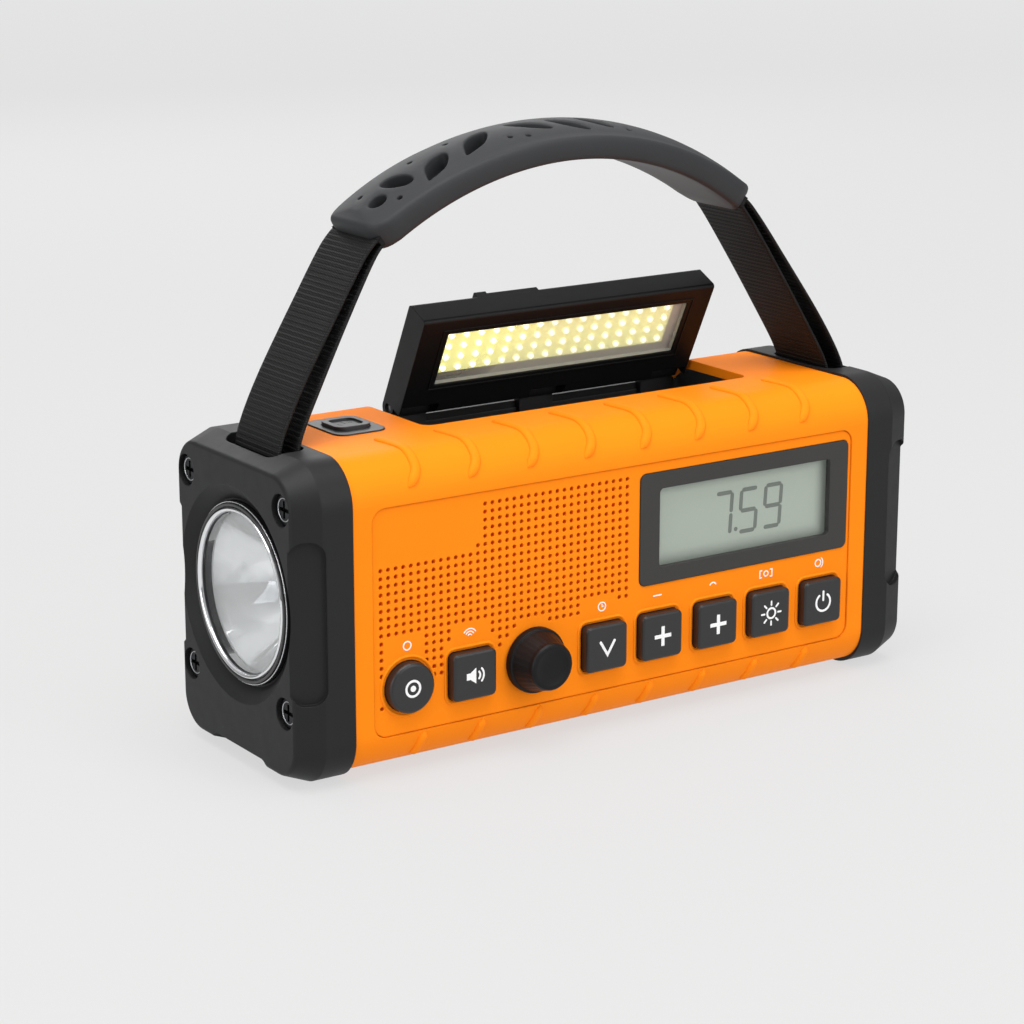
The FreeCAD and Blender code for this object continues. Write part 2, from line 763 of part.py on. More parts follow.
def recess_tray():
    """Black tray under the lid; it carries the fixed knuckles of the hinge."""
    top = D.case_top - D.wall
    left, right = D.recess_left, D.recess_right
    back = INSIDE_BACK - 0.1
    tub = box((left - 1.6, right + 1.6), (D.recess_front - 1.6, back), (D.tray_floor - 1.6, top - 0.05))
    outer = fuse(
        common(tub, spigot_slab((left - 1.6, right + 1.6), 0.1)),
        box(
            (left + 0.15, right - 0.15),
            (D.hinge_y + 1.0, BACK - 0.1),
            (D.recess_sill + 0.1, D.hinge_z - 2.8),
        ),
    )
    hollow = slab((left, right), (D.recess_front, D.hinge_y + 0.6), (D.tray_floor, top + 2), 2.5, "z")
    above_back = box((left - 3, right + 3), (D.hinge_y - 0.4, BACK + 3), (D.hinge_z - 2.8, top + 3))
    tray = cut(outer, hollow, above_back)
    ears = []
    for span in KNUCKLES:
        ears.append(rod("x", HINGE, D.hinge_radius, span))
        ears.append(box(span, (D.hinge_y - 0.6, D.hinge_y + 1.0), (D.tray_floor - 1, D.hinge_z - 0.4)))
        ears.append(box(span, (D.hinge_y, D.hinge_y + 1.6), (D.recess_sill + 0.1, D.hinge_z - 0.4)))
    bore = rod("x", HINGE, D.hinge_pin_radius + 0.03, (D.lid_left - 2, D.lid_right + 2))
    name_part("recess_tray", cut(fuse(tray, *ears), bore))
    pin = rod("x", HINGE, D.hinge_pin_radius, (D.lid_left + 0.6, D.lid_right - 0.6))
    name_part("hinge_pin", pin)


def open_lid(*pieces):
    """Swing pieces that were built with the lid shut up to the lid's open angle."""
    swung = group(*pieces)
    axis = Vector(0, D.hinge_y.value, D.hinge_z.value)
    swung.Placement = Placement(Vector(), Rotation(Vector(-1, 0, 0), D.lid_open_angle.value), axis)
    return swung


def lid():
    """Lid built shut, then swung open: frame, solar panel above, lamp board and lens below."""
    low, high = D.case_top - D.lid_thickness, D.case_top
    across = (D.lid_left, D.lid_right)
    frame = slab(across, (D.lid_front, D.hinge_y), (low, high), 0.8, "x")
    frame = fuse(frame, rod("x", HINGE, D.hinge_radius, across))
    bump = box((D.lid_left + 17, D.lid_left + 20), (D.lid_front, D.lid_front + 2.6), (high - 0.6, high + 1.2))
    blade_x = (D.lid_left + 19, D.lid_left + 33)
    blade = box(blade_x, (D.lid_front, D.lid_front + 1.2), (high - 0.6, high + 0.5))
    lamp_x = middle((D.lid_left + D.lid_right) / 2, D.lamp_length)
    lamp_y = (D.lamp_front, D.lamp_front + D.lamp_width)
    lens_x = (lamp_x[0] - 0.8, lamp_x[1] + 1.6)
    lens_y = (lamp_y[0] - 0.9, lamp_y[1] + 1.2)
    solar_x = (D.lid_left + 3, D.lid_right - 3)
    solar_y = (D.lid_front + 3, D.hinge_y - 4)
    tools = [
        box(lens_x, lens_y, (low - 1, low + 1.5)),
        box(lamp_x, lamp_y, (low - 1, low + 3.6)),
        box(solar_x, solar_y, (high - 1.6, high + 1)),
        box((D.lid_left - 1, D.lid_right + 1), (D.hinge_y - 1.2, D.hinge_y + 4), (low - 1, D.hinge_z - 2.0)),
        rod("x", HINGE, D.hinge_pin_radius + 0.05, (D.lid_left - 2, D.lid_right + 2)),
    ]
    for start, end in KNUCKLES:
        tools.append(box((start - 0.2, end + 0.2), (D.hinge_y - 3.2, D.hinge_y + 4), (low - 1, high + 1)))
    name_part("lid_frame", open_lid(cut(fuse(frame, bump, blade), *tools)))
    lens = box((lens_x[0] + 0.1, lens_x[1] - 0.1), (lens_y[0] + 0.1, lens_y[1] - 0.1), (low + 0.3, low + 1.4))
    name_part("lamp_lens", open_lid(lens))
    board_x = (lamp_x[0] + 0.1, lamp_x[1] - 0.1)
    board_y = (lamp_y[0] + 0.1, lamp_y[1] - 0.1)
    board = box(board_x, board_y, (low + 2.5, low + 3.6))
    name_part("lamp_board", open_lid(board))
    columns, rows = 16, 4
    pitch_x = D.lamp_length / columns
    pitch_y = D.lamp_width / rows
    leds = [
        rod(
            "z",
            (lamp_x[0] + pitch_x * (column + 0.5), lamp_y[0] + pitch_y * (row + 0.5)),
            0.62,
            (low + 1.9, low + 2.5),
        )
        for column in range(columns)
        for row in range(rows)
    ]
    name_part("lamp_leds", open_lid(*leds))
    panel = box(
        (solar_x[0] + 0.1, solar_x[1] - 0.1), (solar_y[0] + 0.1, solar_y[1] - 0.1), (high - 1.6, high - 0.2)
    )
    name_part("solar_panel", open_lid(panel))


# --------------------------------------------------------------------------- carrying handle
GRIP_CENTRE_Z = D.grip_top - D.grip_radius
PASSAGE_LOW = D.grip_radius - D.grip_crown - D.grip_wall + D.grip_skin
PASSAGE_HIGH = PASSAGE_LOW + 2.4
SWING_Z = D.cap_top + 0.6
STRAP_SPREAD = 3.1


def swept_arch(outline, half_angle):
    """Sweep an outline of (across, radius) points through the handle's arch, as a solid."""
    lean, centre_z = D.grip_lean.value, GRIP_CENTRE_Z.value
    face = Part.Face(outline([Vector(0, lean, centre_z), Vector(0, 1, 0), Vector(0, 0, 1)]))
    centre = Vector(0, lean, centre_z)
    face.rotate(centre, Vector(0, 1, 0), -half_angle)
    return face.revolve(centre, Vector(0, 1, 0), 2 * half_angle)


def band(half_width, inner, outer):
    """Outline of a flat band, for swept_arch."""

    def outline(frame):
        corners = [(-half_width, inner), (-half_width, outer), (half_width, outer), (half_width, inner)]
        points = [at(frame, corner) for corner in corners]
        return Part.makePolygon(points + points[:1])

    return outline


def at(frame, place_in_section):
    origin, across, outward = frame
    return origin + across * place_in_section[0] + outward * place_in_section[1]


def crowned(half_width, inner, edge, crown):
    """Outline with a flat underside and a crowned top, for swept_arch."""

    def outline(frame):
        low_left, high_left = at(frame, (-half_width, inner)), at(frame, (-half_width, edge))
        low_right, high_right = at(frame, (half_width, inner)), at(frame, (half_width, edge))
        top = Part.Arc(high_left, at(frame, (0, edge + crown)), high_right).toShape()
        return Part.Wire(
            [
                Part.makeLine(low_left, high_left),
                top,
                Part.makeLine(high_right, low_right),
                Part.makeLine(low_right, low_left),
            ]
        )

    return outline


def plan_of_grip():
    """Upright block with the grip's outline from above: it narrows towards both ends."""
    lean = D.grip_lean.value
    half_middle, half_end = D.grip_width.value / 2, D.grip_end_width.value / 2
    reach = D.grip_radius.value * math.sin(math.radians(D.grip_half_angle.value)) + 1
    corners = [Vector(x, lean + y, 90) for x, y in ((-reach, -half_end), (reach, -half_end))]
    far = [Vector(x, lean + y, 90) for x, y in ((reach, half_end), (-reach, half_end))]
    outline = Part.Wire(
        [
            Part.Arc(corners[0], Vector(0, lean - half_middle, 90), corners[1]).toShape(),
            Part.makeLine(corners[1], far[0]),
            Part.Arc(far[0], Vector(0, lean + half_middle, 90), far[1]).toShape(),
            Part.makeLine(far[1], corners[0]),
        ]
    )
    return Part.Face(outline).extrude(Vector(0, 0, 60))


def slot_drill(radius, half_length):
    """Upright cutter for one hole of the grip: round, or a slot along X."""
    depth = 10
    if not half_length:
        return Part.makeCylinder(radius, depth)
    ends = [Part.makeCylinder(radius, depth, Vector(x, 0, 0)) for x in (-half_length, half_length)]
    web = Part.makeBox(2 * half_length, 2 * radius, depth, Vector(-half_length, -radius, 0))
    return web.fuse(ends).removeSplitter()


def grip():
    """Soft arched grip with a crowned top, a passage for the webbing and holes through its skin."""
    half = D.grip_half_angle.value
    edge = (D.grip_radius - D.grip_crown).value
    spare = 1.3  # the section starts wider than the plan, which then trims both sides
    half_width = D.grip_width.value / 2 + spare
    body = swept_arch(
        crowned(half_width, edge - D.grip_wall.value, edge - 0.6, D.grip_crown.value + 0.6), half
    )
    low, high = PASSAGE_LOW.value, PASSAGE_HIGH.value
    half_strap = D.strap_width.value / 2
    body = body.common(plan_of_grip()).cut(swept_arch(band(half_strap + 0.3, low, high), half + 2))
    centre = Vector(0, D.grip_lean.value, GRIP_CENTRE_Z.value)
    for angle, across, radius, half_length, slant in GRIP_HOLES:
        drill = slot_drill(radius, half_length)
        drill.rotate(Vector(), Vector(0, 0, 1), slant)
        drill.translate(centre + Vector(0, across, high - 1))
        drill.rotate(centre, Vector(0, 1, 0), angle)
        body = body.cut(drill)
    shaped("handle_grip", body)
    shaped("grip_webbing", swept_arch(band(half_strap, low + 0.15, high - 0.15), half - 0.4))


def rectangle(low_x, high_x, low_z, high_z, centre_y, half_width):
    """Closed wire across a strap: its inner edge at (low_x, low_z), its outer at (high_x, high_z)."""
    points = [
        Vector(low_x, centre_y - half_width, low_z),
        Vector(high_x, centre_y - half_width, high_z),
        Vector(high_x, centre_y + half_width, high_z),
        Vector(low_x, centre_y + half_width, low_z),
    ]
    return Part.makePolygon(points + points[:1])


def straps():
    """Doubled webbing: upright in its pocket, then narrowing to the end of the grip."""
    start = math.radians(D.grip_half_angle.value + 0.4)
    inner, outer = PASSAGE_LOW.value + 0.15, PASSAGE_HIGH.value - 0.15
    half_width = D.strap_width.value / 2
    centre_z = GRIP_CENTRE_Z.value
    foot = D.strap_pin_z.value + 2.6
    for name, side in (("left_webbing", -1), ("right_webbing", 1)):
        top = rectangle(
            side * inner * math.sin(start),
            side * outer * math.sin(start),
            centre_z + inner * math.cos(start),
            centre_z + outer * math.cos(start),
            D.grip_lean.value,
            half_width,
        )
        near, far = side * (D.strap_x.value - STRAP_SPREAD), side * (D.strap_x.value + STRAP_SPREAD)
        bottom = rectangle(near, far, foot, foot, 0, half_width)
        knee = rectangle(near, far, SWING_Z.value, SWING_Z.value, 0, half_width)
        shaped(name, Part.makeLoft([bottom, knee, top], True, True))


# --------------------------------------------------------------------------- inside
def speaker():
    centre = (SPEAKER_X, SPEAKER_Z)
    front = INSIDE_FRONT + 0.1
    basket = cut(
        fuse(
            rod("y", centre, 15.0, (front, front + 1.2)),
            cone("y", centre, (13.5, 9.0), (front + 1.2, front + 6.5)),
        ),
        cone("y", centre, (13.4, 8.0), (front - 0.2, front + 5.7)),
        rod("y", centre, 5.0, (front, front + 8)),
    )
    paper = cut(
        cone("y", centre, (12.6, 4.4), (front + 0.4, front + 4.6)),
        cone("y", centre, (12.2, 4.0), (front + 0.2, front + 4.2)),
    )
    name_part("speaker_cone", paper)
    magnet = rod("y", centre, 9.5, (front + 6.4, front + 11.0))
    pole = rod("y", centre, 3.6, (front + 4.8, front + 6.5))
    name_part("speaker_frame", fuse(basket, magnet, pole))


def electronics():
    board = box((-12.0, 60.0), (FRONT + 10.6, FRONT + 12.2), (8.0, 54.0))
    back = FRONT + 12.2
    seat = back - 0.2
    chips = [
        box(middle(10.0, 10.0), (seat, back + 1.2), middle(38.0, 10.0)),
        box(middle(30.0, 7.0), (seat, back + 1.0), middle(40.0, 5.0)),
        box(middle(46.0, 12.0), (seat, back + 2.4), middle(46.0, 6.0)),
        rod("y", (24.0, 20.0), 3.0, (seat, back + 3.2)),
        rod("y", (33.0, 20.0), 2.5, (seat, back + 3.2)),
    ]
    name_part("main_board", fuse(board, *chips))
    cell_centre = (0.0, 14.2)
    name_part("battery_cell", rod("x", cell_centre, 9.1, (-51.0, 14.0)))
    cradle = cut(
        box((-52.4, 15.4), pair(10.4), (3.4, 12.0)),
        rod("x", cell_centre, 9.15, (-51.2, 14.2)),
    )
    name_part("battery_cradle", cradle)
    rod_centre = (1.0, 49.0)
    wound = fuse(rod("x", rod_centre, 3.9, (-36.0, 44.0)), rod("x", rod_centre, 5.2, (14.0, 36.0)))
    name_part("ferrite_rod", wound)


def sockets():
    """Socket board behind the rubber port cover in the back."""
    deck = PORT_Z[0] + 1.4
    board = box((PORT_X[0] - 1, PORT_X[1] + 1), (12.0, 23.0), (deck - 1.4, deck))
    first_x, second_x = PORT_X[0] + 8.4, PORT_X[1] - 6.4
    usb = cut(
        box(middle(first_x, 13.2), (12.5, 23.3), (deck - 0.2, deck + 5.9)),
        box(middle(first_x, 12.0), (14.0, 24.0), (deck + 0.6, deck + 5.3)),
    )
    small = cut(
        slab(middle(second_x, 9.0), (14.0, 23.3), (deck - 0.2, deck + 3.4), 1.5, "y"),
        slab(middle(second_x, 8.2), (15.0, 24.0), (deck + 0.4, deck + 3.0), 1.2, "y"),
    )
    name_part("port_board", fuse(board, usb, small))
    leaf_z = (PORT_Z[0] - 1.5, PORT_Z[1] + 2)
    leaf = slab((PORT_X[0] - 2, PORT_X[1] + 2), (BACK + 0.1, BACK + 1.5), leaf_z, 1.5, "y")
    plug_x = (PORT_X[0] + 0.4, PORT_X[1] - 0.4)
    plug_z = (PORT_Z[0] + 1.2, PORT_Z[1] - 0.9)
    plug = slab(plug_x, (INSIDE_BACK + 0.4, BACK + 0.2), plug_z, 1.5, "y")
    name_part("port_cover", fuse(leaf, plug))


# --------------------------------------------------------------------------- hand crank
def gear_outline(teeth, module, clearance=0.06):
    """Outline of a spur gear: straight-flanked teeth, thinned a little for running clearance."""
    pitch = teeth * module / 2
    tip = pitch + 0.85 * module
    root = pitch - 1.15 * module
    step = 2 * math.pi / teeth
    half_root = step * 0.34 - clearance / pitch
    half_tip = step * 0.13 - clearance / pitch
    corners = []
    for tooth in range(teeth):
        middle_angle = tooth * step
        for radius, offset in ((root, -half_root), (tip, -half_tip), (tip, half_tip), (root, half_root)):
            corners.append((radius, middle_angle + offset))
    return corners


def gear_solid(centre, teeth, span, phase):
    """Spur gear on an axis along Y, turned by a phase in degrees so that it meshes."""
    points = []
    for radius, angle in gear_outline(teeth, D.gear_module.value):
        turned = angle + math.radians(phase)
        points.append(
            Vector(centre[0] + radius * math.cos(turned), span[0], centre[1] + radius * math.sin(turned))
        )
    face = Part.Face(Part.makePolygon(points + points[:1]))
    return face.extrude(Vector(0, span[1] - span[0], 0))


def axle(centre, radius, span):
    return Part.makeCylinder(
        radius, span[1] - span[0], Vector(centre[0], span[0], centre[1]), Vector(0, 1, 0)
    )


def bored(solid, centre, radius):
    drill = Part.makeCylinder(radius, 60, Vector(centre[0], -20, centre[1]), Vector(0, 1, 0))
    return solid.cut(drill)


DRIVE_TEETH, IDLER_PINION, IDLER_TEETH, GENERATOR_TEETH = 48, 12, 36, 12


def gear_places():
    """Shaft centres of the two-stage train, in X and Z."""
    module = D.gear_module.value
    crank = (D.crank_x.value, D.crank_z.value)
    first = module * (DRIVE_TEETH + IDLER_PINION) / 2
    idler = (crank[0] - first, crank[1])
    second = module * (IDLER_TEETH + GENERATOR_TEETH) / 2
    lean = math.radians(140)
    generator = (idler[0] + second * math.cos(lean), idler[1] + second * math.sin(lean))
    return crank, idler, generator


def gear_train():
    crank, idler, generator = gear_places()
    drive = gear_solid(crank, DRIVE_TEETH, (17.0, 20.0), 0)
    shaped("drive_gear", drive.fuse(axle(crank, 3.0, (11.2, BACK.value + 4))).removeSplitter())
    small_step = 360 / IDLER_PINION
    pinion = gear_solid(idler, IDLER_PINION, (15.4, 20.6), small_step / 2)
    wheel = gear_solid(idler, IDLER_TEETH, (12.8, 15.4), 0)
    shaped("idler_gear", bored(pinion.fuse(wheel), idler, 1.55))
    towards = 140
    mesh_phase = towards + 180 + 180 / GENERATOR_TEETH
    drift = (towards % (360 / IDLER_TEETH)) * IDLER_TEETH / GENERATOR_TEETH
    rotor = gear_solid(generator, GENERATOR_TEETH, (12.4, 15.8), mesh_phase + drift)
    shaped("generator_pinion", rotor.fuse(axle(generator, 1.0, (2.0, 16.0))).removeSplitter())
    can = fuse(rod("y", generator, 9.0, (0.5, 10.7)), rod("y", generator, 3.0, (10.7, 11.7)))
    name_part("generator", cut(can, rod("y", generator, 1.05, (1.5, 12))))
    posts = [(-12.0, 43.0), (-12.0, 26.5), (48.0, 42.0), (48.0, 12.0)]
    plate = slab((-15.0, 51.0), (10.9, 12.1), (9.0, 47.0), 3.0, "y")
    openings = [rod("y", crank, 3.05, (10, 13)), rod("y", generator, 3.1, (10, 13))]
    idler_pin = [rod("y", idler, 1.5, (11.0, 21.0)), rod("y", idler, 2.4, (20.9, 21.4))]
    legs = [rod("y", post, 2.0, (12.0, INSIDE_BACK - 0.05)) for post in posts]
    name_part("gear_plate", fuse(cut(plate, *openings), *idler_pin, *legs))


def crank():
    """Crank arm on the back, with a handle that folds into a slot in the arm."""
    centre = (D.crank_x, D.crank_z)
    bush = fuse(
        rod("y", centre, 4.95, (INSIDE_BACK - 1, COVER_FACE)),
        rod("y", centre, 6.5, (COVER_FACE, BACK + 0.2)),
    )
    name_part("crank_bush", cut(bush, rod("y", centre, 3.05, (20.0, 30.0))))
    near, far = BACK + 0.6, BACK + 6.6
    pivot_x = D.crank_x - D.crank_radius
    arm_half = 5.5
    arm = fuse(
        rod("y", centre, 6.0, (near, far)),
        box((pivot_x, D.crank_x), (near, far), middle(D.crank_z, 2 * arm_half)),
        rod("y", (pivot_x, D.crank_z), arm_half, (near, far)),
    )
    slot = box((pivot_x - 8, pivot_x + 12.2), (near - 1, far + 1), middle(D.crank_z, 7.4))
    socket = rod("y", centre, 3.02, (near - 1, BACK + 4))
    fold_y = BACK + 3.7
    fold_pin = rod("z", (pivot_x, fold_y), 1.0, middle(D.crank_z, 10.4))
    name_part("crank_arm", fuse(cut(arm, slot, socket), fold_pin))
    axis = (fold_y, D.crank_z)
    stem = fuse(
        rod("z", (pivot_x, fold_y), 2.5, middle(D.crank_z, 7.0)),
        rod("x", axis, 1.5, (pivot_x + 1, pivot_x + 11.0)),
        rod("x", axis, 2.4, (pivot_x + 11.0, pivot_x + 11.8)),
    )
    name_part("crank_stem", cut(stem, rod("z", (pivot_x, fold_y), 1.04, (D.crank_z - 8, D.crank_z + 8))))
    barrel = rod("x", axis, 3.2, (pivot_x + 2.8, pivot_x + 10.9))
    sleeve = round_edges(barrel, 0.6, lambda edge: edge.Length > 8)
    name_part("crank_grip", cut(sleeve, rod("x", axis, 1.56, (pivot_x, pivot_x + 14))))


# --------------------------------------------------------------------------- telescopic antenna
def antenna():
    """Swivel base, elbow and four nested tubes, lying along the top of the back."""
    axis = (D.antenna_y, D.antenna_z)
    root = D.antenna_root
    bracket = fuse(
        box((root + 4.5, root + 12.5), (BACK + 0.02, BACK + 6.0), (52.6, 58.6)),
        rod("x", axis, 3.2, (root + 4.5, root + 12.5)),
    )
    name_part("antenna_bracket", cut(bracket, rod("x", axis, 2.05, (root + 3, root + 14))))
    base = fuse(
        rod("x", axis, 2.0, (root + 3.5, root + 12.8)),
        rod("x", axis, 2.8, (root + 12.8, root + 13.6)),
        rod("x", axis, 2.9, (root - 2.4, root + 4.2)),
    )
    fork_gap = box((root - 4, root + 2.6), middle(D.antenna_y, 8), middle(D.antenna_z, 2.4))
    elbow_pin = rod("z", (root, D.antenna_y), 0.8, middle(D.antenna_z, 5.0))
    name_part("antenna_base", fuse(cut(base, fork_gap), elbow_pin))
    tip_end = root - 4.5 - D.antenna_length
    tongue = fuse(
        rod("z", (root, D.antenna_y), 2.2, middle(D.antenna_z, 2.2)),
        box((root - 4.6, root), middle(D.antenna_y, 3.0), middle(D.antenna_z, 2.2)),
        rod("x", axis, 2.6, (tip_end, root - 3.9)),
    )
    elbow_hole = rod("z", (root, D.antenna_y), 0.85, middle(D.antenna_z, 10))
    name_part("antenna_tube", cut(tongue, elbow_hole, rod("x", axis, 2.15, (tip_end - 1, root - 5.4))))
    middle_tube = cut(
        rod("x", axis, 2.1, (tip_end - 1.6, root - 5.8)),
        rod("x", axis, 1.65, (tip_end - 3, root - 6.4)),
    )
    name_part("antenna_middle_tube", middle_tube)
    tip = fuse(
        rod("x", axis, 1.6, (tip_end - 3.4, root - 7.0)),
        rod("x", axis, 2.5, (tip_end - 7.0, tip_end - 3.4)),
    )
    name_part("antenna_tip", tip)


# --------------------------------------------------------------------------- build and write
def build():
    housing()
    fascia()
    rear_cover()
    end_cap("left_end_cap", -1)
    end_cap("right_end_cap", 1)
    case_screws()
    strap_pins()
    flashlight()
    display()
    push_buttons()
    tuning_knob()
    keypad()
    top_button()
    recess_tray()
    lid()
    grip()
    straps()
    speaker()
    electronics()
    sockets()
    gear_train()
    crank()
    antenna()
    doc.recompute()


def check_and_write():
    for item in doc.Objects:
        if "Invalid" in item.State or "Error" in item.State:
            raise RuntimeError(f"{item.Name} ({item.Label}) failed: {item.State}")
    for name, item in PARTS.items():
        if item.Shape.isNull() or not item.Shape.isValid() or not item.Shape.Solids:
            raise RuntimeError(f"{name} has no valid shape")
    for name, item in PARTS.items():
        item.Shape.exportStep(f"parts/{name}.step")
    print(f"{len(PARTS)} sub-parts written")


build()
check_and_write()
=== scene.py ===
"""Looks of a hand-crank emergency radio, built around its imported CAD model.

Shapes are worked out in millimetres, in the model's own frame, and turned into metres where a mesh
is made. X runs along the case, -Y is the display side and Z is up.
"""
import math

import bmesh
import bpy
from mathutils import Euler, Matrix, Vector
from mathutils.geometry import delaunay_2d_cdt


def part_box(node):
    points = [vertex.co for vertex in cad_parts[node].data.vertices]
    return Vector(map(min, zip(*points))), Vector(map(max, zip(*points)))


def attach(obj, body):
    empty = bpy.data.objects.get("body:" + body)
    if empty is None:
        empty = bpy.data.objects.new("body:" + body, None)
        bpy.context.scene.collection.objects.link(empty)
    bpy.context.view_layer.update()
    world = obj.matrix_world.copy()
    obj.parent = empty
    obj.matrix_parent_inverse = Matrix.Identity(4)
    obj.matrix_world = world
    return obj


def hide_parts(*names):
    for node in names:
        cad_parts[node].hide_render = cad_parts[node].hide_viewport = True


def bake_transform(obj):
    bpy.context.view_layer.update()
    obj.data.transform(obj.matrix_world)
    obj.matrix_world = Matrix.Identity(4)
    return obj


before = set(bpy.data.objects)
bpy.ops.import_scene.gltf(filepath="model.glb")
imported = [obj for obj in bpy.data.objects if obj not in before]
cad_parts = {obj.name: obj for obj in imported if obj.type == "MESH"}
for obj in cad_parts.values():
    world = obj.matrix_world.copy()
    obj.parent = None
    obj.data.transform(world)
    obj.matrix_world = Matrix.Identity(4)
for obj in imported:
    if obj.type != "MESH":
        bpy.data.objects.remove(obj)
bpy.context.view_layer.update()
scene = bpy.context.scene
MM = 0.001


# ---------------------------------------------------------------- places read from the frame
def extent(node):
    """Lowest and highest corner of a CAD node, in millimetres."""
    low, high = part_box(node)
    return low / MM, high / MM


def centre(node):
    low, high = extent(node)
    return (low + high) / 2


HOUSING_LOW, HOUSING_HIGH = extent("main_housing")
FASCIA_LOW, FASCIA_HIGH = extent("front_fascia")
GRIP_LOW, GRIP_HIGH = extent("handle_grip")
CASE_FRONT = -25.75
CASE_TOP = HOUSING_HIGH.z
CASE_BOTTOM = HOUSING_LOW.z
FASCIA_FACE = FASCIA_LOW.y
FILLET = 9.0


# ---------------------------------------------------------------- materials
def srgb(red, green, blue):
    """Screen colour, 0 to 255, as linear RGBA."""
    def linear(value):
        value /= 255
        return value / 12.92 if value <= 0.04045 else ((value + 0.055) / 1.055) ** 2.4
    return (linear(red), linear(green), linear(blue), 1.0)


def scaled(colour, factor):
    return tuple(min(1.0, channel * factor) for channel in colour[:3]) + (1.0,)


class Finish:
    """A node material round one Principled shader. Coordinates are the object's own, in metres."""

    def __init__(self, name, rough=0.5, metal=0.0):
        self.material = bpy.data.materials.new(name)
        self.material.use_nodes = True
        self.tree = self.material.node_tree
        self.shader = self.tree.nodes["Principled BSDF"]
        self.output = self.tree.nodes["Material Output"]
        self.place = self.add("ShaderNodeTexCoord").outputs["Object"]
        self.normal = None
        self.put(Roughness=rough, Metallic=metal)

    def add(self, kind, **settings):
        node = self.tree.nodes.new(kind)
        for key, value in settings.items():
            setattr(node, key, value)
        return node

    def link(self, source, target):
        self.tree.links.new(source, target)

    def put(self, **values):
        """Set shader inputs; underscores stand for spaces."""
        for key, value in values.items():
            self.shader.inputs[key.replace("_", " ")].default_value = value

    def noise(self, size, detail=2.0, place=None):
        """Noise whose features are about size millimetres across."""
        node = self.add("ShaderNodeTexNoise")
        node.inputs["Scale"].default_value = 1 / (size * MM)
        node.inputs["Detail"].default_value = detail
        self.link(place or self.place, node.inputs["Vector"])
        return node.outputs["Fac"]

    def ramp(self, factor, *stops):
        node = self.add("ShaderNodeValToRGB")
        elements = node.color_ramp.elements
        while len(elements) < len(stops):
            elements.new(0.5)
        for element, (position, colour) in zip(elements, stops):
            element.position = position
            element.color = colour
        self.link(factor, node.inputs["Fac"])
        return node.outputs["Color"]

    def mix(self, factor, first, second, blend="MIX"):
        """Mix two colours or sockets by a number or a socket."""
        node = self.add("ShaderNodeMix", data_type="RGBA", blend_type=blend)
        for socket, value in ((node.inputs[0], factor), (node.inputs[6], first), (node.inputs[7], second)):
            if isinstance(value, bpy.types.NodeSocket):
                self.link(value, socket)
            else:
                socket.default_value = value
        return node.outputs[2]

    def fit(self, value, from_low, from_high, to_low, to_high):
        node = self.add("ShaderNodeMapRange")
        for key, number in zip(range(1, 5), (from_low, from_high, to_low, to_high)):
            node.inputs[key].default_value = number
        self.link(value, node.inputs[0])
        return node.outputs[0]

    def maths(self, operation, first, second):
        node = self.add("ShaderNodeMath", operation=operation)
        for socket, value in zip(node.inputs, (first, second)):
            if isinstance(value, bpy.types.NodeSocket):
                self.link(value, socket)
            else:
                socket.default_value = value
        return node.outputs[0]

    def soften(self, radius):
        """Round sharp edges by radius millimetres, in the shading."""
        node = self.add("ShaderNodeBevel", samples=4)
        node.inputs["Radius"].default_value = radius * MM
        self.normal = node.outputs["Normal"]

    def edges(self, radius):
        """1 along outer and inner edges, falling to 0 on flat ground."""
        bevel = self.add("ShaderNodeBevel", samples=4)
        bevel.inputs["Radius"].default_value = radius * MM
        dot = self.add("ShaderNodeVectorMath", operation="DOT_PRODUCT")
        self.link(bevel.outputs["Normal"], dot.inputs[0])
        self.link(self.add("ShaderNodeNewGeometry").outputs["Normal"], dot.inputs[1])
        return self.fit(dot.outputs["Value"], 0.82, 0.995, 1.0, 0.0)

    def bump(self, height, depth, strength=1.0):
        """Relief of depth millimetres, on top of any relief before it."""
        node = self.add("ShaderNodeBump")
        node.inputs["Strength"].default_value = strength
        node.inputs["Distance"].default_value = depth * MM
        self.link(height, node.inputs["Height"])
        if self.normal:
            self.link(self.normal, node.inputs["Normal"])
        self.normal = node.outputs["Normal"]

    def done(self, colour=None):
        if colour is not None:
            if isinstance(colour, bpy.types.NodeSocket):
                self.link(colour, self.shader.inputs["Base Color"])
            else:
                self.shader.inputs["Base Color"].default_value = colour
        if self.normal:
            self.link(self.normal, self.shader.inputs["Normal"])
        return self.material


def plastic(name, colour, rough, spread=0.06, grain=0.25, relief=0.012, edge=0.35, wear_and_highlight=0.25, **shader):
    """Moulded plastic: cloudy colour, fine grain, edges that are rounded and a little lighter, from wear and
    from a painted highlight.
    """
    finish = Finish(name, rough)
    finish.put(**shader)
    if edge:
        finish.soften(edge)
    cloud = finish.noise(14.0)
    base = finish.mix(cloud, scaled(colour, 1 - spread), scaled(colour, 1 + spread))
    if wear_and_highlight:
        # Painted highlight: outer and inner edges are lightened towards a brighter copy of the colour, partly
        # wear and partly painted light catching the edges.
        worn_and_highlit_edges = finish.maths("MULTIPLY", finish.edges(edge or 0.3), wear_and_highlight)
        base = finish.mix(worn_and_highlit_edges, base, scaled(colour, 1.7))
    fine = finish.noise(grain, detail=3.0)
    finish.bump(fine, relief, 0.5)
    rougher = finish.fit(finish.noise(3.0), 0.0, 1.0, rough - 0.05, rough + 0.05)
    finish.link(rougher, finish.shader.inputs["Roughness"])
    return finish.done(base)


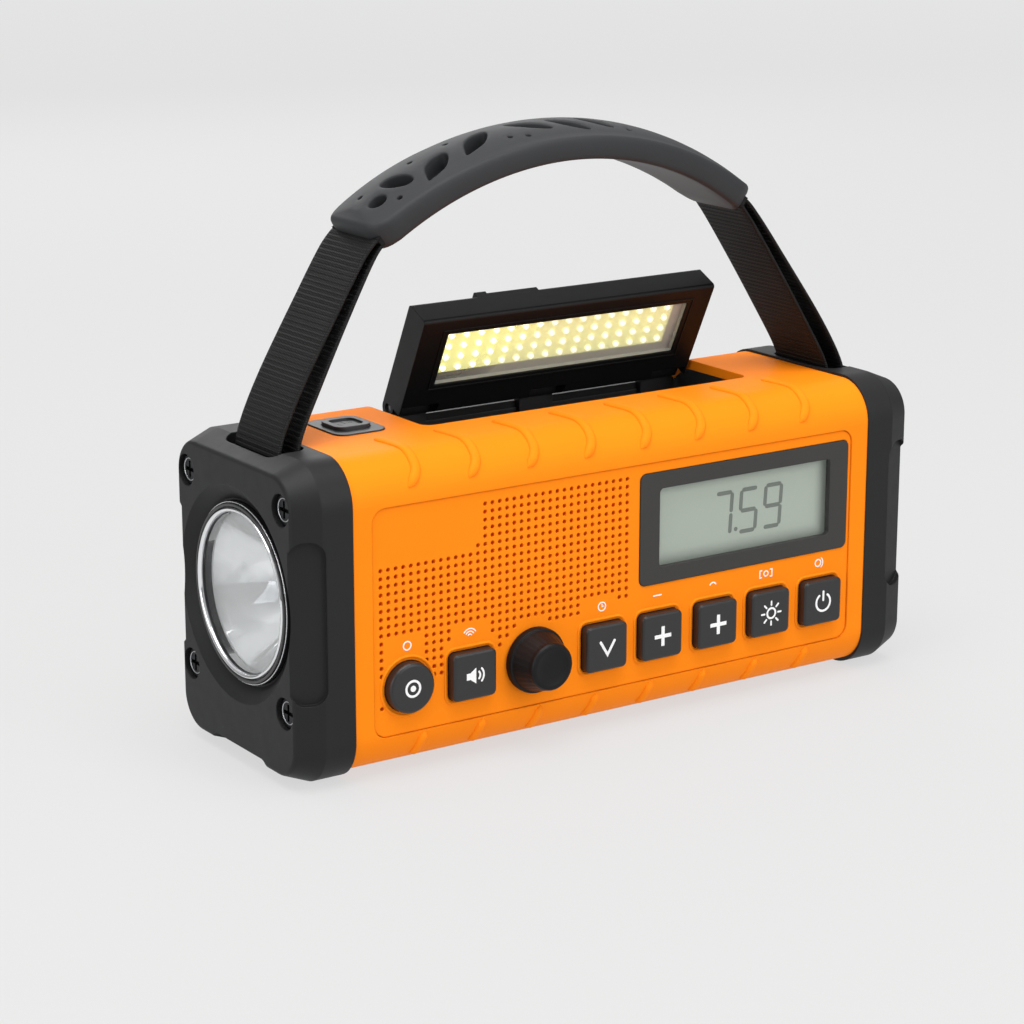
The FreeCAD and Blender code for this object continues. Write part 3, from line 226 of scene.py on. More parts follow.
def metal(name, colour, rough, brushed=0.0, edge=0.15):
    finish = Finish(name, rough, metal=1.0)
    finish.soften(edge)
    tone = finish.mix(finish.noise(5.0), scaled(colour, 0.92), scaled(colour, 1.06))
    stretch = finish.add("ShaderNodeMapping")
    stretch.inputs["Scale"].default_value = (0.08, 1.0, 1.0)
    finish.link(finish.place, stretch.inputs["Vector"])
    lines = finish.noise(0.25, detail=4.0, place=stretch.outputs["Vector"])
    rougher = finish.fit(lines, 0.2, 0.8, max(0.02, rough - 0.05), rough + 0.08)
    finish.link(rougher, finish.shader.inputs["Roughness"])
    if brushed:
        finish.bump(lines, brushed)
    return finish.done(tone)


def clear(name, tint, gloss=0.55, veil=0.0):
    """Clear sheet: light goes straight through, and its face still mirrors the lights."""
    finish = Finish(name, 0.06)
    finish.soften(0.2)
    finish.bump(finish.noise(9.0), 0.01, 0.2)
    finish.put(Base_Color=tint, Specular_IOR_Level=gloss)
    see = finish.add("ShaderNodeBsdfTransparent")
    see.inputs["Color"].default_value = tint
    blend = finish.add("ShaderNodeMixShader")
    rim = finish.add("ShaderNodeFresnel")
    rim.inputs["IOR"].default_value = 1.3
    amount = finish.maths("ADD", finish.maths("MULTIPLY", rim.outputs[0], gloss), veil)
    finish.link(amount, blend.inputs[0])
    finish.link(see.outputs[0], blend.inputs[1])
    finish.link(finish.shader.outputs[0], blend.inputs[2])
    finish.link(blend.outputs[0], finish.output.inputs["Surface"])
    return finish.done()


def glowing(name, colour, strength, base):
    """Lit surface with a slightly uneven glow."""
    finish = Finish(name, 0.45)
    finish.soften(0.1)
    glow = finish.mix(finish.noise(6.0), scaled(colour, 0.86), colour)
    finish.link(glow, finish.shader.inputs["Emission Color"])
    finish.put(Emission_Strength=strength)
    return finish.done(base)


def lcd_finish():
    """Grey-green display, darkened towards its edges by painted shade and given a faint painted glow, with a
    faint mirror-film grain.
    """
    finish = Finish("lcd_glass", 0.35)
    low, high = extent("lcd_panel")
    split = finish.add("ShaderNodeSeparateXYZ")
    finish.link(finish.place, split.inputs[0])
    # Painted shade: the display's colour darkens over the last 3.4 mm towards each edge.
    painted_edge_shade = None
    for axis, name in ((0, "X"), (2, "Z")):
        middle, half = (low[axis] + high[axis]) / 2 * MM, (high[axis] - low[axis]) / 2 * MM
        offset = finish.maths("ABSOLUTE", finish.maths("SUBTRACT", split.outputs[name], middle), 0)
        near_edge = finish.fit(offset, half - 3.4 * MM, half, 0.0, 1.0)
        painted_edge_shade = near_edge if painted_edge_shade is None else finish.maths("MAXIMUM", painted_edge_shade, near_edge)
    plain = finish.mix(finish.noise(0.35), srgb(156, 162, 154), srgb(163, 169, 161))
    lcd_colour_with_painted_shade = finish.mix(painted_edge_shade, plain, srgb(126, 132, 126))
    # Painted glow: the display's own colour is also fed to emission, so it glows faintly.
    finish.link(lcd_colour_with_painted_shade, finish.shader.inputs["Emission Color"])
    finish.put(Emission_Strength=0.25)
    return finish.done(lcd_colour_with_painted_shade)


def webbing_finish():
    """Near-black nylon: cross ribs come from the mesh, the yarn from two fine waves."""
    finish = Finish("webbing_nylon", 0.62)
    finish.put(Specular_IOR_Level=0.25)
    low_wave = finish.add("ShaderNodeTexWave", wave_type="BANDS", bands_direction="Y")
    low_wave.inputs["Scale"].default_value = 560.0
    low_wave.inputs["Distortion"].default_value = 1.2
    finish.link(finish.place, low_wave.inputs["Vector"])
    cross_wave = finish.add("ShaderNodeTexWave", wave_type="BANDS", bands_direction="Z")
    cross_wave.inputs["Scale"].default_value = 700.0
    cross_wave.inputs["Distortion"].default_value = 1.6
    finish.link(finish.place, cross_wave.inputs["Vector"])
    weave = finish.maths("MULTIPLY", low_wave.outputs["Fac"], cross_wave.outputs["Fac"])
    finish.bump(weave, 0.14, 0.8)
    finish.bump(finish.noise(0.18, detail=4.0), 0.06, 0.5)
    yarn = finish.mix(weave, srgb(5, 5, 5), srgb(25, 24, 24))
    return finish.done(yarn)


def rubber_finish(name, colour, rough=0.58):
    """Soft-touch rubber with a pebbled skin, and edges lightened by dust and by a painted sheen."""
    finish = Finish(name, rough)
    finish.put(Specular_IOR_Level=0.3)
    finish.soften(0.3)
    base = finish.mix(finish.noise(10.0), scaled(colour, 0.9), scaled(colour, 1.12))
    # Painted sheen: edges are lightened towards a brighter copy of the colour, partly dust and partly a
    # painted highlight.
    base = finish.mix(finish.maths("MULTIPLY", finish.edges(0.5), 0.35), base, scaled(colour, 1.6))
    pebble = finish.add("ShaderNodeTexVoronoi", feature="SMOOTH_F1")
    pebble.inputs["Scale"].default_value = 1 / (0.45 * MM)
    finish.link(finish.place, pebble.inputs["Vector"])
    finish.bump(pebble.outputs["Distance"], 0.02, 0.6)
    return finish.done(base)


def painted_reflection_mirror_finish():
    """Vacuum-plated bowl: painted reflections, brighter and darker sectors in the base colour, run out from
    the emitter.
    """
    finish = Finish("reflector_painted_reflections", 0.05, metal=1.0)
    middle = centre("flashlight_reflector")
    split = finish.add("ShaderNodeSeparateXYZ")
    finish.link(finish.place, split.inputs[0])
    across = finish.maths("SUBTRACT", split.outputs["Y"], middle.y * MM)
    up = finish.maths("SUBTRACT", split.outputs["Z"], middle.z * MM)
    angle = finish.maths("ARCTAN2", up, across)
    # Painted reflection: the base colour runs through dark and bright sectors round the bowl's axis.
    wave = finish.maths("SINE", finish.maths("MULTIPLY", angle, 4.0), 0.0)
    painted_reflection_sectors = finish.maths("ADD", wave, finish.fit(finish.noise(5.0), 0.3, 0.7, -0.5, 0.5))
    tone = finish.ramp(
        finish.fit(painted_reflection_sectors, -1.2, 1.2, 0.0, 1.0),
        (0.0, srgb(92, 94, 98)),
        (0.45, srgb(178, 181, 186)),
        (0.8, srgb(246, 247, 249)),
    )
    return finish.done(tone)


def solar_finish():
    """Blue-black silicon with thin silver fingers across it, under clear resin."""
    finish = Finish("solar_cells", 0.12)
    low, high = extent("solar_panel")
    turn = finish.add("ShaderNodeMapping", vector_type="TEXTURE")
    tilt = math.atan2(high.z - low.z, high.y - low.y)
    turn.inputs["Rotation"].default_value = (-tilt, 0.0, 0.0)
    turn.inputs["Location"].default_value = ((low.x + 0.2) * MM, low.y * MM, low.z * MM)
    finish.link(finish.place, turn.inputs["Vector"])
    cells = finish.add("ShaderNodeTexBrick", offset=0.0, squash=1.0)
    cells.inputs["Scale"].default_value = 1.0
    cells.inputs["Mortar Size"].default_value = 0.35 * MM
    cells.inputs["Brick Width"].default_value = 11.9 * MM
    cells.inputs["Row Height"].default_value = 40.0 * MM
    cells.inputs["Color1"].default_value = srgb(22, 28, 58)
    cells.inputs["Color2"].default_value = srgb(28, 34, 68)
    cells.inputs["Mortar"].default_value = srgb(150, 155, 165)
    finish.link(turn.outputs["Vector"], cells.inputs["Vector"])
    fingers = finish.add("ShaderNodeTexWave", wave_type="BANDS", bands_direction="X", wave_profile="SIN")
    fingers.inputs["Scale"].default_value = 260.0
    finish.link(finish.place, fingers.inputs["Vector"])
    thin = finish.ramp(fingers.outputs["Fac"], (0.94, (0, 0, 0, 1)), (0.99, (1, 1, 1, 1)))
    speckle = finish.mix(finish.noise(2.5), cells.outputs["Color"], srgb(40, 50, 100))
    base = finish.mix(finish.maths("MULTIPLY", thin, 0.4), speckle, srgb(120, 126, 140))
    finish.put(Coat_Weight=0.8, Coat_Roughness=0.04)
    return finish.done(base)


ORANGE = (0.98, 0.245, 0.008, 1.0)
BLACK = srgb(29, 29, 30)
orange = plastic("orange_abs", ORANGE, 0.5, spread=0.03, edge=0.4, wear_and_highlight=0.2, Specular_IOR_Level=0.04)
black = plastic("black_abs", BLACK, 0.5, edge=0.4, wear_and_highlight=0.3, grain=0.3, relief=0.02, Specular_IOR_Level=0.22)
plate_black = plastic("plate_black", srgb(48, 48, 50), 0.42, edge=0.3, wear_and_highlight=0.3, grain=0.3, relief=0.01)
lid_black = plastic(
    "lid_black", srgb(17, 17, 18), 0.42, edge=0.3, wear_and_highlight=0.35, grain=0.3, relief=0.01, Specular_IOR_Level=0.2
)
gloss_black = plastic("gloss_black", srgb(26, 26, 28), 0.14, grain=0.8, relief=0.004, edge=0.3, wear_and_highlight=0.1)
bezel_black = plastic("bezel_matte", srgb(40, 39, 37), 0.5, edge=0.3, wear_and_highlight=0.25, relief=0.01)
key_black = plastic("key_black", srgb(30, 30, 31), 0.38, edge=0.35, wear_and_highlight=0.4, relief=0.008)
knob_black = plastic(
    "knob_black", srgb(13, 13, 14), 0.45, edge=0.2, wear_and_highlight=0.25, relief=0.01, Specular_IOR_Level=0.2
)
inner = plastic("inner_nylon", srgb(120, 122, 124), 0.5)
tray_black = plastic("tray_black", srgb(30, 30, 31), 0.5, edge=0.3, wear_and_highlight=0.1)
white_ink = plastic("white_ink", srgb(240, 240, 240), 0.5, edge=0.0, wear_and_highlight=0.0, relief=0.004)
dark_ink = plastic("lcd_digits", srgb(112, 117, 112), 0.5, edge=0.0, wear_and_highlight=0.0, relief=0.002)
# Near-black: painted shade standing for the recess of the top button's icon.
icon_recess_painted_shade = plastic("top_icon_painted_shade", srgb(16, 16, 17), 0.4, edge=0.0, wear_and_highlight=0.0, relief=0.004)
cloth = plastic("grille_cloth", (1.0, 0.15, 0.006, 1.0), 0.8, edge=0.0, wear_and_highlight=0.0, grain=0.15, relief=0.05)
steel = metal("plated_steel", srgb(190, 191, 194), 0.28, brushed=0.01)
screw_steel = metal("blackened_screw", srgb(52, 53, 55), 0.4, brushed=0.01)
chrome = metal("bright_chrome", srgb(238, 239, 241), 0.05, edge=0.2)
mirror = painted_reflection_mirror_finish()
glass = clear("display_glass", (0.97, 0.98, 0.97, 1.0), gloss=0.5)
lens_glass = clear("torch_glass", (0.985, 0.99, 0.99, 1.0), gloss=0.5)
lamp_glass = clear("lamp_cover", (0.98, 0.98, 0.96, 1.0), gloss=0.5)
board = plastic("green_board", srgb(30, 96, 52), 0.35, spread=0.2, grain=1.0, relief=0.02)
lamp_plate = glowing("lamp_board_lit", (0.97, 0.97, 0.42, 1.0), 0.62, srgb(236, 236, 140))
led_lit = glowing("led_lit", (1.0, 0.99, 0.86, 1.0), 1.6, srgb(255, 252, 236))
ferrite = plastic("ferrite_dark", srgb(60, 58, 56), 0.6, grain=0.6, relief=0.05)
cell_wrap = plastic("cell_wrap", srgb(40, 104, 158), 0.25, spread=0.1)
paper = plastic("paper_cone", srgb(70, 68, 64), 0.8, grain=0.5, relief=0.05)
grip_skin = rubber_finish("grip_rubber", srgb(42, 43, 45))
grip_under = rubber_finish("grip_underside", srgb(46, 47, 48), 0.5)
port_skin = rubber_finish("port_rubber", srgb(48, 49, 51))
webbing = webbing_finish()
lcd = lcd_finish()
solar = solar_finish()

CAD_FINISHES = {
    orange: ["main_housing", "front_fascia", "rear_cover"],
    black: ["left_end_cap", "right_end_cap", "crank_arm", "crank_bush", "antenna_bracket",
            "antenna_base"],
    gloss_black: ["flashlight_bezel"],
    plate_black: ["top_button_plate", "top_button"],
    lid_black: ["lid_frame"],
    tray_black: ["recess_tray"],
    bezel_black: ["display_bezel"],
    key_black: ["sound_button", "down_button", "minus_button", "plus_button", "light_button", "power_button",
                "target_button"],
    knob_black: ["tuning_knob", "crank_stem", "crank_grip"],
    inner: ["gear_plate", "idler_gear", "drive_gear", "battery_cradle", "generator_pinion"],
    steel: ["strap_pins", "hinge_pin", "generator", "speaker_frame", "tuning_encoder"],
    screw_steel: ["case_screws"],
    chrome: ["antenna_tube", "antenna_middle_tube", "antenna_tip"],
    mirror: ["flashlight_reflector"],
    lens_glass: ["flashlight_lens"],
    glass: ["display_window"],
    lamp_glass: ["lamp_lens"],
    lcd: ["lcd_panel"],
    board: ["keypad_board", "main_board", "port_board", "top_switch_board", "flashlight_board"],
    lamp_plate: ["lamp_board"],
    led_lit: ["lamp_leds"],
    solar: ["solar_panel"],
    ferrite: ["ferrite_rod"],
    cell_wrap: ["battery_cell"],
    paper: ["speaker_cone"],
    grip_skin: ["handle_grip"],
    port_skin: ["port_cover"],
    webbing: ["grip_webbing", "left_webbing", "right_webbing"],
}
for finish, names in CAD_FINISHES.items():
    for name in names:
        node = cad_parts[name]
        for material_slot in node.material_slots:
            material_slot.material = finish


# ---------------------------------------------------------------- mesh helpers
class Shell:
    """Vertices and faces of one piece, in millimetres."""

    def __init__(self):
        self.points = []
        self.faces = []
        self.kinds = []

    def row(self, points):
        start = len(self.points)
        self.points.extend(Vector(point) for point in points)
        return list(range(start, len(self.points)))

    def face(self, corners, kind=0):
        self.faces.append(tuple(corners))
        self.kinds.append(kind)

    def bridge(self, first, second, closed=True, kind=0):
        """Quads between two rows of the same length."""
        count = len(first)
        for index in range(count if closed else count - 1):
            after = (index + 1) % count
            self.face((first[index], first[after], second[after], second[index]), kind)

    def loft(self, rows, caps=True, kind=0):
        """Closed rows of points joined one after another, with both ends closed."""
        loops = [self.row(points) for points in rows]
        for first, second in zip(loops, loops[1:]):
            self.bridge(first, second, kind=kind)
        if caps:
            self.face(reversed(loops[0]), kind)
            self.face(loops[-1], kind)
        return loops

    def piece(self, name, finishes, body=None, sharp=38.0):
        mesh = bpy.data.meshes.new(name)
        mesh.from_pydata([point * MM for point in self.points], [], self.faces)
        for finish in finishes:
            mesh.materials.append(finish)
        for polygon, kind in zip(mesh.polygons, self.kinds):
            polygon.material_index = kind
        work = bmesh.new()
        work.from_mesh(mesh)
        bmesh.ops.remove_doubles(work, verts=work.verts, dist=1e-7)
        bmesh.ops.recalc_face_normals(work, faces=work.faces)
        work.to_mesh(mesh)
        work.free()
        for polygon in mesh.polygons:
            polygon.use_smooth = True
        mesh.set_sharp_from_angle(angle=math.radians(sharp))
        made = bpy.data.objects.new(name, mesh)
        scene.collection.objects.link(made)
        if body:
            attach(made, body)
        return made


def turn_about_hinge(point):
    """Where a point of the shut lid is, now that the lid stands open."""
    pin = centre("hinge_pin")
    turn = Matrix.Rotation(-LID_OPEN, 4, "X")
    return pin + turn @ (Vector(point) - pin)


def circle(radius, steps, start=0.0):
    angles = [start + 2 * math.pi * step / steps for step in range(steps)]
    return [(radius * math.cos(angle), radius * math.sin(angle)) for angle in angles]


def revolve(shell, profile, spot, steps=64, closed=True, kind=0, lobes=None):
    """Turn a profile of (radius, distance along the axis). spot(u, v, along) gives the point."""
    rows = []
    for radius, along in profile:
        ring = []
        for u, v in circle(1.0, steps):
            swell = lobes(math.atan2(v, u), radius, along) if lobes else radius
            ring.append(spot(u * swell, v * swell, along))
        rows.append(shell.row(ring))
    for first, second in zip(rows, rows[1:]):
        shell.bridge(first, second, kind=kind)
    if closed:
        shell.bridge(rows[-1], rows[0], kind=kind)
    return rows


def smooth_path(points, steps):
    """Catmull-Rom curve through points of any dimension, steps pieces per stretch."""
    points = [Vector(point) for point in points]
    ends = [points[0] * 2 - points[1], *points, points[-1] * 2 - points[-2]]
    path = []
    for a, b, c, d in zip(ends, ends[1:], ends[2:], ends[3:]):
        for step in range(steps):
            t = step / steps
            square, cube = a * 2 - b * 5 + c * 4 - d, b * 3 - a - c * 3 + d
            path.append(0.5 * (b * 2 + (c - a) * t + square * t * t + cube * t ** 3))
    path.append(points[-1])
    return path


def stroke(shell, points, width, low, high, spot, closed=False, kind=0):
    """A flat line of even width along 2D points, from depth low to depth high, with round ends."""
    points = [Vector(point) for point in points]
    count = len(points)
    rows = []
    half = width / 2
    for index, point in enumerate(points):
        before = points[index - 1] if closed or index else points[index]
        after = points[(index + 1) % count] if closed or index < count - 1 else points[index]
        along_in, along_out = point - before, after - point
        if along_in.length < 1e-9:
            along_in = along_out
        if along_out.length < 1e-9:
            along_out = along_in
        way = (along_in.normalized() + along_out.normalized()).normalized()
        side = Vector((-way.y, way.x))
        stretch = 1 / max(0.5, side.dot(Vector((-along_in.y, along_in.x)).normalized()))
        rows.append((point, way, side, half * stretch))
    if not closed:
        first, last = rows[0], rows[-1]
        for turn in (0.5, 1.0, 1.4):
            step, narrow = half * math.sin(turn), half * math.cos(turn)
            rows.insert(0, (first[0] - first[1] * step, first[1], first[2], narrow))
            rows.append((last[0] + last[1] * step, last[1], last[2], narrow))
    loops = []
    for point, way, side, reach in rows:
        left, right = point + side * reach, point - side * reach
        loops.append(shell.row([spot(left, low), spot(right, low), spot(right, high), spot(left, high)]))
    for first, second in zip(loops, loops[1:]):
        shell.bridge(first, second, kind=kind)
    if closed:
        shell.bridge(loops[-1], loops[0], kind=kind)
    else:
        shell.face(reversed(loops[0]), kind)
        shell.face(loops[-1], kind)


def disc(shell, radius, low, high, spot, steps=32, kind=0):
    rows = [[spot(Vector(point), depth) for point in circle(radius, steps)] for depth in (low, high)]
    shell.loft(rows, kind=kind)


def bead(shell, path, half_width, height, taper=3, steps=8, kind=0):
    """A half-round bead along (point, surface normal) pairs; its ends taper into the surface."""
    count = len(path)
    loops = []
    for index, (point, up) in enumerate(path):
        ahead = path[min(index + 1, count - 1)][0] - path[max(index - 1, 0)][0]
        side = ahead.normalized().cross(up)
        from_end = min(index, count - 1 - index)
        grow = math.sin(math.pi / 2 * min(1.0, (from_end + 0.3) / taper))
        ring = []
        for step in range(steps + 1):
            angle = math.pi * step / steps
            rise = height * grow * math.sin(angle)
            ring.append(point + side * half_width * grow * math.cos(angle) + up * (rise - 0.05))
        ring.append(point - up * 0.35)
        loops.append(shell.row(ring))
    for first, second in zip(loops, loops[1:]):
        shell.bridge(first, second, kind=kind)
    shell.face(reversed(loops[0]), kind)
    shell.face(loops[-1], kind)


def inside(point, loop):
    """True if a 2D point is inside a closed loop."""
    x, y = point
    odd = False
    for (x1, y1), (x2, y2) in zip(loop, loop[1:] + loop[:1]):
        if (y1 > y) != (y2 > y) and x < (x2 - x1) * (y - y1) / (y2 - y1) + x1:
            odd = not odd
    return odd


def distance_to(point, loop):
    return min((Vector(point) - Vector(corner)).length for corner in loop)


def punched(outline, holes, pitch):
    """Triangles over an outline with holes: points, triangles and the number of points in each loop.

    The outline's points come first, then each hole's.
    """
    points = [tuple(point) for point in outline]
    loops = [list(range(len(points)))]
    for hole in holes:
        loops.append(list(range(len(points), len(points) + len(hole))))
        points.extend(tuple(point) for point in hole)
    xs, ys = [point[0] for point in outline], [point[1] for point in outline]
    columns = int((max(xs) - min(xs)) / pitch)
    rows = int((max(ys) - min(ys)) / pitch)
    for column in range(1, columns):
        for row in range(1, rows):
            spot = (min(xs) + (column + 0.5 * (row % 2)) * pitch, min(ys) + row * pitch)
            clear_of_rim = inside(spot, outline) and distance_to(spot, outline) > 0.55 * pitch
            taken = any(inside(spot, hole) or distance_to(spot, hole) < 0.45 * pitch for hole in holes)
            if clear_of_rim and not taken:
                points.append(spot)
    result = delaunay_2d_cdt([Vector(point) for point in points], [], loops, 0, 1e-5)
    flat, triangles = result[0], result[2]
    kept = []
    for triangle in triangles:
        middle = sum((flat[index] for index in triangle), Vector((0, 0))) / len(triangle)
        if inside(middle, outline) and not any(inside(middle, hole) for hole in holes):
            kept.append(tuple(triangle))
    return flat, kept, [len(loop) for loop in loops]


# ---------------------------------------------------------------- carrying handle
GRIP_RADIUS = 83.4
GRIP_CROWN = 3.1
GRIP_INNER = 75.9
WEBBING_TOP = 79.62
GRIP_END = math.radians(37.5)
GRIP_AXIS = Vector((0.0, (GRIP_LOW.y + GRIP_HIGH.y) / 2, GRIP_HIGH.z - GRIP_RADIUS))
GRIP_HALF = (GRIP_HIGH.y - GRIP_LOW.y) / 2
GRIP_HALF_AT_END = 10.2
SIDE_ROUND = 1.5
DOT_DEPTH = 1.2
ROLLED_EDGE = (
    (0.5, 0.015), (0.95, 0.06), (1.3, 0.14), (1.5, 0.28), (1.5, 0.78), (1.3, 0.9), (0.85, 0.975), (0.2, 1.0)
)


def on_arch(angle, across, radius):
    return GRIP_AXIS + Vector((radius * math.sin(angle), across, radius * math.cos(angle)))


def grip_width_at(angle):
    """Half width of the grip: widest in the middle."""
    share = (angle / GRIP_END) ** 2
    return GRIP_HALF + (GRIP_HALF_AT_END - GRIP_HALF) * share


def crown_at(across):
    return GRIP_RADIUS - GRIP_CROWN * (across / GRIP_HALF) ** 2


def grip_outline():
    """Edge of the grip's top, as (length along the arch, across), anticlockwise."""
    reach = GRIP_RADIUS * GRIP_END - SIDE_ROUND
    corner = 3.4
    points = []
    steps = 56
    for side, way in ((-1, 1), (1, -1)):
        for step in range(steps + 1):
            u = way * (-1 + 2 * step / steps) * (reach - corner)
            points.append((u, side * (grip_width_at(u / GRIP_RADIUS) - SIDE_ROUND)))
        end_width = grip_width_at(reach / GRIP_RADIUS) - SIDE_ROUND
        for first in (0, 1):
            for step in range(1, 6):
                angle = math.pi / 2 * (step / 6 + first)
                u = way * (reach - corner + corner * math.sin(angle))
                shift = (corner - end_width) * (1 - 2 * first)
                points.append((u, side * (corner * math.cos(angle) - shift)))
    return points


def loop_of(centre_u, centre_v, long_half, short_half, lean=0.0, point=0.0, steps=28):
    """Ellipse, or a teardrop whose low end is drawn to a point."""
    loop = []
    for u, v in circle(1.0, steps):
        pinch = 1 - point * max(0.0, -u) ** 1.5 * 0.75
        x, y = long_half * u, short_half * v * pinch
        loop.append((
            centre_u + x * math.cos(lean) - y * math.sin(lean),
            centre_v + x * math.sin(lean) + y * math.cos(lean),
        ))
    return loop


def grip_holes():
    """Holes through the grip's skin, from its flashlight end to its middle."""
    big = [
        loop_of(-47.2, -3.6, 2.1, 1.9),
        loop_of(-40.6, -2.0, 3.9, 2.3, math.radians(-62)),
        loop_of(-32.4, -5.2, 5.2, 2.3, math.radians(36), 0.9),
        loop_of(-21.0, -3.6, 5.8, 2.2, math.radians(38), 0.9),
        loop_of(-6.8, -3.0, 5.2, 1.7, math.radians(-42), 0.5),
        loop_of(2.2, -4.8, 5.0, 1.7, math.radians(-44), 0.5),
        loop_of(9.8, -3.6, 4.6, 1.6, math.radians(-44), 0.5),
    ]
    small = [(-44.0, -7.3), (-34.2, 1.9), (-25.0, 1.6), (-14.0, -6.6), (-10.2, -7.8), (16.7, -7.4)]
    small.append((-47.6, 2.4))
    dots = [loop_of(u, v, 0.62, 0.62, steps=12) for u, v in small]
    return big + dots + [loop_of(38.2, 4.6, 1.5, 0.7, 0.3, steps=14)]


def offset_loop(loop, distance):
    """A loop moved outwards (anticlockwise loops) by a distance."""
    count = len(loop)
    moved = []
    for index, point in enumerate(loop):
        ahead = Vector(loop[(index + 1) % count]) - Vector(loop[index - 1])
        normal = Vector((ahead.y, -ahead.x)).normalized()
        moved.append(tuple(Vector(point) + normal * distance))
    return moved


def grip():
    """Soft grip: crowned skin with holes, rolled edges and a flat lighter underside."""
    shell = Shell()
    outline = grip_outline()
    holes = grip_holes()
    rims = [offset_loop(hole, 0.45 if len(hole) > 20 else 0.2) for hole in holes]
    flat, triangles, counts = punched(outline, rims, 1.5)
    top = shell.row([on_arch(u / GRIP_RADIUS, v, crown_at(v)) for u, v in flat])
    for triangle in triangles:
        shell.face([top[index] for index in triangle])
    start = counts[0]
    for hole, rim in zip(holes, rims):
        previous = top[start:start + len(rim)]
        start += len(rim)
        deep = 0.45 if len(hole) > 20 else 0.2
        for share, drop in ((0.55, 0.12), (0.85, 0.4), (1.0, 1.0)):
            loop = [
                on_arch(
                    (a[0] + (b[0] - a[0]) * share) / GRIP_RADIUS,
                    a[1] + (b[1] - a[1]) * share,
                    crown_at(b[1]) - deep * drop,
                )
                for a, b in zip(rim, hole)
            ]
            ring = shell.row(loop)
            shell.bridge(previous, ring)
            previous = ring
        through = len(hole) > 20
        floor = shell.row([
            on_arch(u / GRIP_RADIUS, v, WEBBING_TOP if through else crown_at(v) - DOT_DEPTH) for u, v in hole
        ])
        shell.bridge(previous, floor)
        shell.face(floor, 1)
    previous = top[:counts[0]]
    for out, level in ROLLED_EDGE:
        loop = offset_loop(outline, out)
        ring = shell.row([
            on_arch(u / GRIP_RADIUS, v, crown_at(v0) * (1 - level) + GRIP_INNER * level)
            for (u, v), (_, v0) in zip(loop, outline)
        ])
        shell.bridge(previous, ring)
        previous = ring
    flat, triangles, counts = punched(offset_loop(outline, 0.2), [], 2.6)
    under = shell.row([on_arch(u / GRIP_RADIUS, v, GRIP_INNER) for u, v in flat])
    for triangle in triangles:
        shell.face([under[index] for index in triangle], 2)
    made = shell.piece("carry_grip", [grip_skin, webbing, grip_under], "handle", sharp=50)
    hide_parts("handle_grip")


LOOP_RADIUS = 1.85
LEAN_FROM, LEAN_RISE = 66.0, 38.0


def in_grip(radius, degrees):
    """Point of the webbing inside the grip, as (x, z)."""
    angle = math.radians(degrees)
    return radius * math.sin(angle), GRIP_AXIS.z + radius * math.cos(angle)


def strap(name, node, side):
    """One length of webbing: out of the grip, down to the pin, round it and back up inside."""
    pin = centre("strap_pins")
    pin_z = pin.z
    pin_x = extent("strap_pins")[1].x - 1.4
    arch_out = [in_grip(79.0, 31), in_grip(79.0, 35)]
    arch_in = [in_grip(77.7, 35), in_grip(77.7, 31)]
    outer = [*arch_out, (50.2, 104.4), (58.9, 92.0), (66.9, 80.0), (71.8, 71.4), (73.8, 66.0)]
    outer.append((pin_x + LOOP_RADIUS, pin_z + 0.6))
    round_pin = [
        (pin_x + LOOP_RADIUS * math.cos(math.radians(a)), pin_z + LOOP_RADIUS * math.sin(math.radians(a)))
        for a in (-35, -90, -145)
    ]
    back = [(pin_x - LOOP_RADIUS, pin_z + 0.6), (69.6, 65.2), (67.9, 70.4), (62.6, 80.0), (55.6, 92.0)]
    back += [(48.6, 103.2), *arch_in]
    path = smooth_path(outer + round_pin + back, 24)
    lengths = [0.0]
    for before, after in zip(path, path[1:]):
        lengths.append(lengths[-1] + (after - before).length)
    rib, per_rib = 1.15, 5
    stations = int(lengths[-1] / rib * per_rib)
    half_width = 9.0
    columns = [-1.0, -0.985, -0.93, -0.75, -0.5, -0.25, 0.0, 0.25, 0.5, 0.75, 0.93, 0.985, 1.0]
    shell = Shell()
    loops = []
    cursor = 0
    for station in range(stations + 1):
        reach = lengths[-1] * station / stations
        while cursor < len(lengths) - 2 and lengths[cursor + 1] < reach:
            cursor += 1
        share = (reach - lengths[cursor]) / max(1e-9, lengths[cursor + 1] - lengths[cursor])
        spot = path[cursor].lerp(path[cursor + 1], share)
        way = (path[cursor + 1] - path[cursor]).normalized()
        out = Vector((way.y, -way.x))
        height = spot[1]
        lean = GRIP_AXIS.y * min(1.0, max(0.0, (height - LEAN_FROM) / LEAN_RISE))
        ridge = 0.5 + 0.5 * math.cos(2 * math.pi * reach / rib)
        ring = []
        for face in (1, -1):
            for column in columns if face == 1 else reversed(columns):
                thick = 0.34 + 0.16 * ridge ** 0.7
                if abs(column) > 0.99:
                    thick = 0.12
                elif abs(column) > 0.96:
                    thick = 0.3
                centre_line = spot + out * (face * thick)
                ring.append(Vector((side * centre_line[0], lean + half_width * column, centre_line[1])))
        loops.append(shell.row(ring))
    for first, second in zip(loops, loops[1:]):
        shell.bridge(first, second)
    shell.face(reversed(loops[0]))
    shell.face(loops[-1])
    made = shell.piece(name, [webbing], sharp=60)
    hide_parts(node)
    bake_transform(made)


# ---------------------------------------------------------------- orange case details
RIB_COUNT = 8
RIB_PITCH = 14.47
RIB_START = -51.0


def over_fillet(x, run, upper=True):
    """Point and normal on the front fillet. run is 0 where the flat top (or bottom) begins, and grows
    to the front; negative runs go back along the flat, in millimetres, and positive ones turn, in degrees."""
    middle_z = CASE_TOP - FILLET if upper else CASE_BOTTOM + FILLET
    sign = 1 if upper else -1
    if run < 0:
        return Vector((x, CASE_FRONT + FILLET - run, middle_z + sign * FILLET)), Vector((0, 0, sign))
    angle = math.radians(min(run, 90))
    up = Vector((0, -math.sin(angle), sign * math.cos(angle)))
    down_front = max(0.0, run - 90) * 0.1
    return Vector((x, CASE_FRONT + FILLET, middle_z - sign * down_front)) + up * FILLET, up


